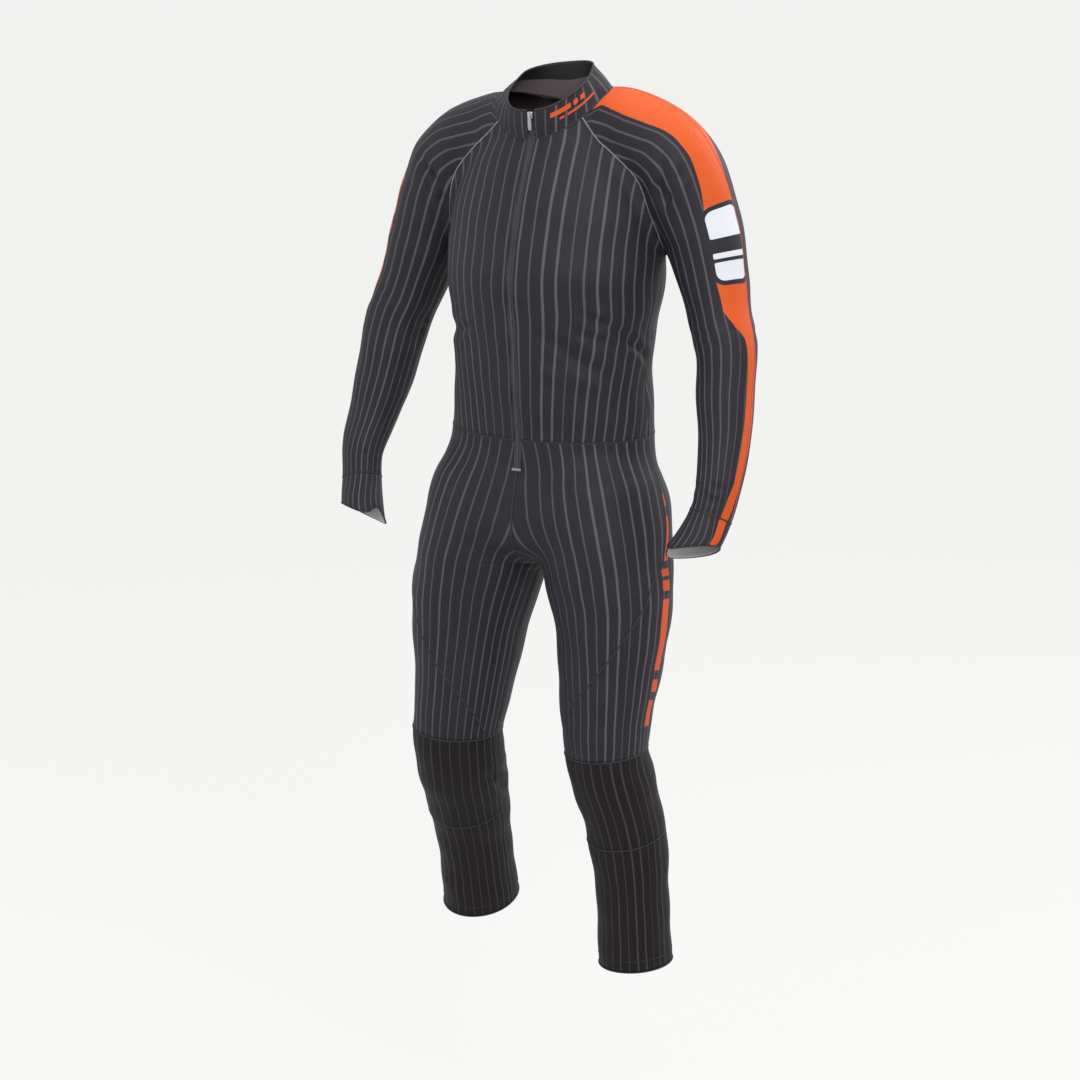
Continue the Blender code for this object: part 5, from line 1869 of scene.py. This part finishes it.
@dataclass
class Seams:
    """All sewn seams, stitch lines and bindings.

    Attributes:
        patches: The refined pieces by name.
        wardrobe: Materials.
        width: Width of a sewn seam.
        height: Height of a sewn seam.
        hem: Distance of the hem's stitches from its edge.
        knee: Distance of the stitches above the knee from their seam.
        front_seam: Where the middle seam leaves the zip, along the cloth.
    """

    patches: dict
    wardrobe: Wardrobe
    width: float = 0.0026
    height: float = 0.0006
    hem: float = 0.016
    knee: float = 0.010
    front_seam: float = 0.048

    def cord(self, name: str, line: tuple, thread: bpy.types.Material = None, width: float = None,
             height: float = None) -> None:
        """Adds one seam cord.

        Args:
            name: The object's name.
            line: Points and normals.
            thread: Its thread, where it isn't the dark one.
            width: Its width, where it isn't the usual one.
            height: Its height, where it isn't the usual one.
        """
        finish = thread or self.wardrobe.dark_thread
        points, normals = line
        SeamCord(name, points, normals, width or self.width, height or self.height, finish).build()

    def inner_row(self, name: str, from_end: float) -> tuple:
        """A row of a piece a given distance from its bottom edge."""
        patch = self.patches[name]
        row = patch.fine.shape[0] - 1 - int(round(from_end / patch.step))
        return patch.fine[row], patch.normal[row]

    def build(self) -> None:
        """Adds every seam of the suit."""
        pale = self.wardrobe.pale_thread
        for side in ("left", "right"):
            front, back, knee, shin, calf = (
                self.patches[f"{name}_{side}"]
                for name in ("sleeve_front", "sleeve_back", "knee", "shin", "calf")
            )
            split = front.fine_split
            for name, line in (
                ("front", front.edge("left", 0, split + 1)),
                ("back", back.edge("right", 0, split + 1)),
            ):
                self.cord(f"seam_raglan_{name}_{side}", line, pale, width=0.0023)
            self.cord(f"seam_underarm_{side}", front.edge("left", split))
            thread = self.wardrobe.orange_thread if side == "left" else None
            line = front.edge("right")
            self.cord(f"seam_overarm_{side}", line, thread, width=0.0016, height=0.0004)
            body = self.patches[f"front_{side}"]
            self.cord(f"seam_side_{side}", body.edge("right", body.fine_split))
            self.cord(f"seam_waist_{side}", body.edge("bottom"))
            self.cord(f"stitch_zip_{side}", body.edge("left"), width=0.0016, height=0.0009)
            cuff = self.patches[f"cuff_{side}"]
            self.cord(f"seam_cuff_{side}", cuff.edge("top"))
            self.cord(f"edge_cuff_{side}", cuff.edge("bottom"), width=0.0020, height=0.0012)
            thigh = self.patches[f"thigh_front_{side}"]
            seat = self.patches[f"thigh_back_{side}"]
            self.cord(f"seam_thigh_{side}", thigh.edge("right"))
            self.cord(f"seam_inner_leg_{side}", thigh.edge("left", thigh.fine_split))
            if side == "left":
                start = int(self.front_seam / FINE_STEP)
                line = thigh.edge("left", start, thigh.fine_split + 1)
                self.cord("seam_centre_front", line)
                self.cord("seam_centre_back", seat.edge("right", 0, seat.fine_split + 1))
            self.cord(f"seam_knee_top_{side}", knee.edge("top"), height=0.0009)
            self.cord(f"seam_calf_top_{side}", calf.edge("top"))
            self.cord(f"seam_knee_foot_{side}", shin.edge("top"), height=0.0009)
            for piece in (knee, shin):
                for edge, place in (("left", "inner"), ("right", "outer")):
                    self.cord(f"seam_{piece.name}_{place}", piece.edge(edge))
            for piece in (shin, calf):
                line = piece.edge("bottom")
                self.cord(f"edge_hem_{piece.name}", line, width=0.0020, height=0.0012)
                row = self.inner_row(piece.name, self.hem)
                self.cord(f"stitch_hem_{piece.name}", row, width=0.0010, height=0.0003)
            row = self.inner_row(f"thigh_front_{side}", self.knee)
            self.cord(f"stitch_knee_{side}", row, width=0.0010, height=0.0003)
        self.cord("seam_waist_back", self.patches["back"].edge("bottom"))
        collar = self.patches["collar"]
        self.cord("seam_collar", collar.edge("top"))
        self.cord("edge_collar", collar.edge("bottom"), width=0.0030, height=0.0012)
        for edge in ("left", "right"):
            self.cord(f"edge_collar_{edge}", collar.edge(edge), width=0.0020, height=0.0010)


@dataclass
class ZipSlider:
    """The slider's body and its pull tab, each a rounded plate that stands for its CAD node.

    Attributes:
        wardrobe: Materials.
        slider: Width, length and thickness of the slider.
        pull: The same for the tab.
        square: Power of the outline's sines, which squares it.
        crown: Power of the cosine by which the plate swells from its faces to its middle.
        turns: Points round the outline.
        levels: Outlines from face to face.
        weld_within: Distance within which points become one, at the poles.
    """

    wardrobe: Wardrobe
    slider: tuple = (0.0085, 0.011, 0.0032)
    pull: tuple = (0.0060, 0.024, 0.0014)
    square: float = 0.5
    crown: float = 0.35
    turns: int = 48
    levels: int = 13
    weld_within: float = 0.00002

    def plate(self, name: str, node: str, size: tuple, waist: float,
              body: str) -> bpy.types.Object:
        """A pillow-like plate: a superellipse outline, crowned in the middle, narrowed at an end.

        Args:
            name: The object's name.
            node: The CAD node it stands for.
            size: Width, length and thickness.
            waist: Share by which the outline narrows towards its upper end.
            body: The moving body it rides on.

        Returns:
            The plate's object.
        """
        half = [length / 2 for length in size]
        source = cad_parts[node].data
        corners = np.empty(len(source.vertices) * 3)
        source.vertices.foreach_get("co", corners)
        corners = corners.reshape(-1, 3)
        middle = (corners.min(0) + corners.max(0)) / 2
        top = corners[corners[:, 2] > middle[2]].mean(0)
        along = unit(top - corners.mean(0))
        level = np.array([1.0, 0.0, 0.0])
        out = np.cross(level, along)
        out = out if out[1] < 0 else -out
        turn = np.linspace(0, 2 * np.pi, self.turns + 1)[:-1]
        rise = np.linspace(-np.pi / 2, np.pi / 2, self.levels)
        bend, lift = (
            np.sign(wave) * np.abs(wave) ** self.square for wave in (np.cos(turn), np.sin(turn))
        )
        swell = np.cos(rise)[:, None] ** self.crown
        narrow = 1 - waist * np.clip(lift, 0, 1)
        x = half[0] * bend[None] * swell * narrow[None]
        y = half[1] * lift[None] * swell
        z = half[2] * np.sin(rise)[:, None] * np.ones_like(x)
        points = (
            corners.mean(0) + x[..., None] * level + y[..., None] * along + z[..., None] * out
        )
        faces = ring_faces(self.levels, self.turns)
        made = make_mesh(name, points.reshape(-1, 3), faces, [self.wardrobe.metal])
        modifier = made.modifiers.new("weld", "WELD")
        modifier.merge_threshold = self.weld_within
        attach(made, body)
        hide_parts(node)
        return made

    def build(self) -> None:
        """Makes the slider and its tab."""
        self.plate("slider_body", "zip_slider", self.slider, -0.10, "suit")
        self.plate("pull_tab", "zip_pull", self.pull, 0.25, "zip_pull")


@dataclass(frozen=True)
class Studio:
    """Pale floor, soft light and the camera at the photograph's angle.

    Attributes:
        azimuth: Degrees from the front to the wearer's left.
        elevation: Degrees above the horizon.
        distance: Metres from the target.
        lens: Focal length, in millimetres.
        sensor: Width of the sensor, in millimetres.
        target: Where the camera looks.
        lit: Where the lamps point.
        floor_height: Height of the floor.
        paper: Colour of the floor.
        paper_share: Share of the paper's light that comes back from the lamps.
        glow: Share that it gives by itself.
        sky: Colour of the sky.
        sky_strength: Its strength.
        lamps: Name, place, size and power of each lamp.
    """

    azimuth: float = 28.0
    elevation: float = 13.0
    distance: float = 5.5
    lens: float = 121.0
    sensor: float = 36.0
    target: tuple = (-0.01872, -0.00995, -0.667)
    lit: tuple = (0, 0, -0.6)
    floor_height: float = -1.75
    paper: str = "#f4f5f3"
    paper_share: float = 0.09
    glow: float = 0.90
    sky: str = "#f6f7f8"
    sky_strength: float = 0.86
    lamps: tuple = (
        ("key", (2.6, -2.9, 1.9), 1.9, 150.0),
        ("fill", (-3.2, -2.4, 0.4), 2.6, 37.0),
        ("top", (0.3, 0.4, 2.6), 2.2, 60.0),
        ("rim", (1.5, 3.0, 1.2), 1.6, 60.0),
    )

    def build(self) -> None:
        """Adds the floor, the lights, the sky and the camera."""
        self.floor()
        self.lights()
        self.camera()

    def floor(self) -> None:
        """A wide flat floor: rings of points round the middle, below the hems."""
        turn = np.linspace(0, 2 * np.pi, 49)
        reach = np.array([0.01, 2.0, 8.0, 70.0])[:, None]
        x, y = reach * np.cos(turn), reach * np.sin(turn)
        points = np.stack([x, y, np.full(x.shape, self.floor_height)], axis=-1)
        made = new_material("studio_paper_pale", {
            "Base Color": dimmer(self.paper, self.paper_share),
            "Roughness": 1.0,
            "Specular IOR Level": 0.0,
            "Emission Color": linear(self.paper),
            "Emission Strength": self.glow,
        })[0]
        faces = quad_faces(np.arange(x.size).reshape(x.shape))
        make_mesh("studio_floor", points.reshape(-1, 3), faces, [made])

    def lights(self) -> None:
        """Large soft lights: a key in front, a fill from the side, one above and one behind."""
        for name, place, size, power in self.lamps:
            lamp = bpy.data.lights.new(name, "AREA")
            lamp.shape = "DISK"
            lamp.size = size
            lamp.energy = power
            made = bpy.data.objects.new(name, lamp)
            made.location = place
            aim = Vector(self.lit) - Vector(place)
            made.rotation_euler = aim.to_track_quat("-Z", "Y").to_euler()
            bpy.context.scene.collection.objects.link(made)
        world = bpy.data.worlds.new("studio_sky")
        world.use_nodes = True
        background = world.node_tree.nodes["Background"]
        background.inputs["Color"].default_value = linear(self.sky)
        background.inputs["Strength"].default_value = self.sky_strength
        bpy.context.scene.world = world
        bpy.context.scene.view_settings.view_transform = "Standard"

    def camera(self) -> None:
        """The camera, square on the middle of the suit."""
        turn, rise = math.radians(self.azimuth), math.radians(self.elevation)
        level = math.cos(rise)
        back = Vector((math.sin(turn) * level, -math.cos(turn) * level, math.sin(rise)))
        lens = bpy.data.cameras.new("photo_camera")
        lens.lens = self.lens
        lens.sensor_width = self.sensor
        made = bpy.data.objects.new("photo_camera", lens)
        made.location = Vector(self.target) + back * self.distance
        made.rotation_euler = (-back).to_track_quat("-Z", "Y").to_euler()
        bpy.context.scene.collection.objects.link(made)
        bpy.context.scene.camera = made


class SuitLook:
    """Puts the whole look together."""

    def __init__(self) -> None:
        """Works out the pattern and the materials."""
        self.wardrobe = Wardrobe()
        self.patches = SuitPattern().all()

    def inside_of(self, name: str) -> bpy.types.Material:
        """The material of a piece's inside."""
        kinds = {"collar": Inside.COLLAR_BAND, "cuff": Inside.CUFF_FACING}
        kind = kinds.get(name.split("_")[0], Inside.LINING)
        return {
            Inside.LINING: self.wardrobe.lining,
            Inside.COLLAR_BAND: self.wardrobe.band,
            Inside.CUFF_FACING: self.wardrobe.facing,
        }[kind]

    def build(self) -> None:
        """Builds the cloth, the seams, the zip and the studio."""
        for name, patch in self.patches.items():
            lower = name.startswith(LOWER_PIECES)
            finish = self.wardrobe.lower if lower else self.wardrobe.cloth
            ClothPiece(patch, finish, self.inside_of(name)).build()
        Seams(self.patches, self.wardrobe).build()
        ZipSlider(self.wardrobe).build()
        for node, finish in (
            ("zip_chain", self.wardrobe.coil),
            ("zip_tape_left", self.wardrobe.tape),
            ("zip_tape_right", self.wardrobe.tape),
            ("zip_stop", self.wardrobe.pale_thread),
        ):
            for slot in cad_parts[node].material_slots:
                slot.material = finish
            LOG.info("%s: dressed", node)
        Studio().build()


def main() -> None:
    """Builds the look."""
    logging.basicConfig(level=logging.INFO, format="%(message)s")
    SuitLook().build()


if __name__ == "__main__":
    main()
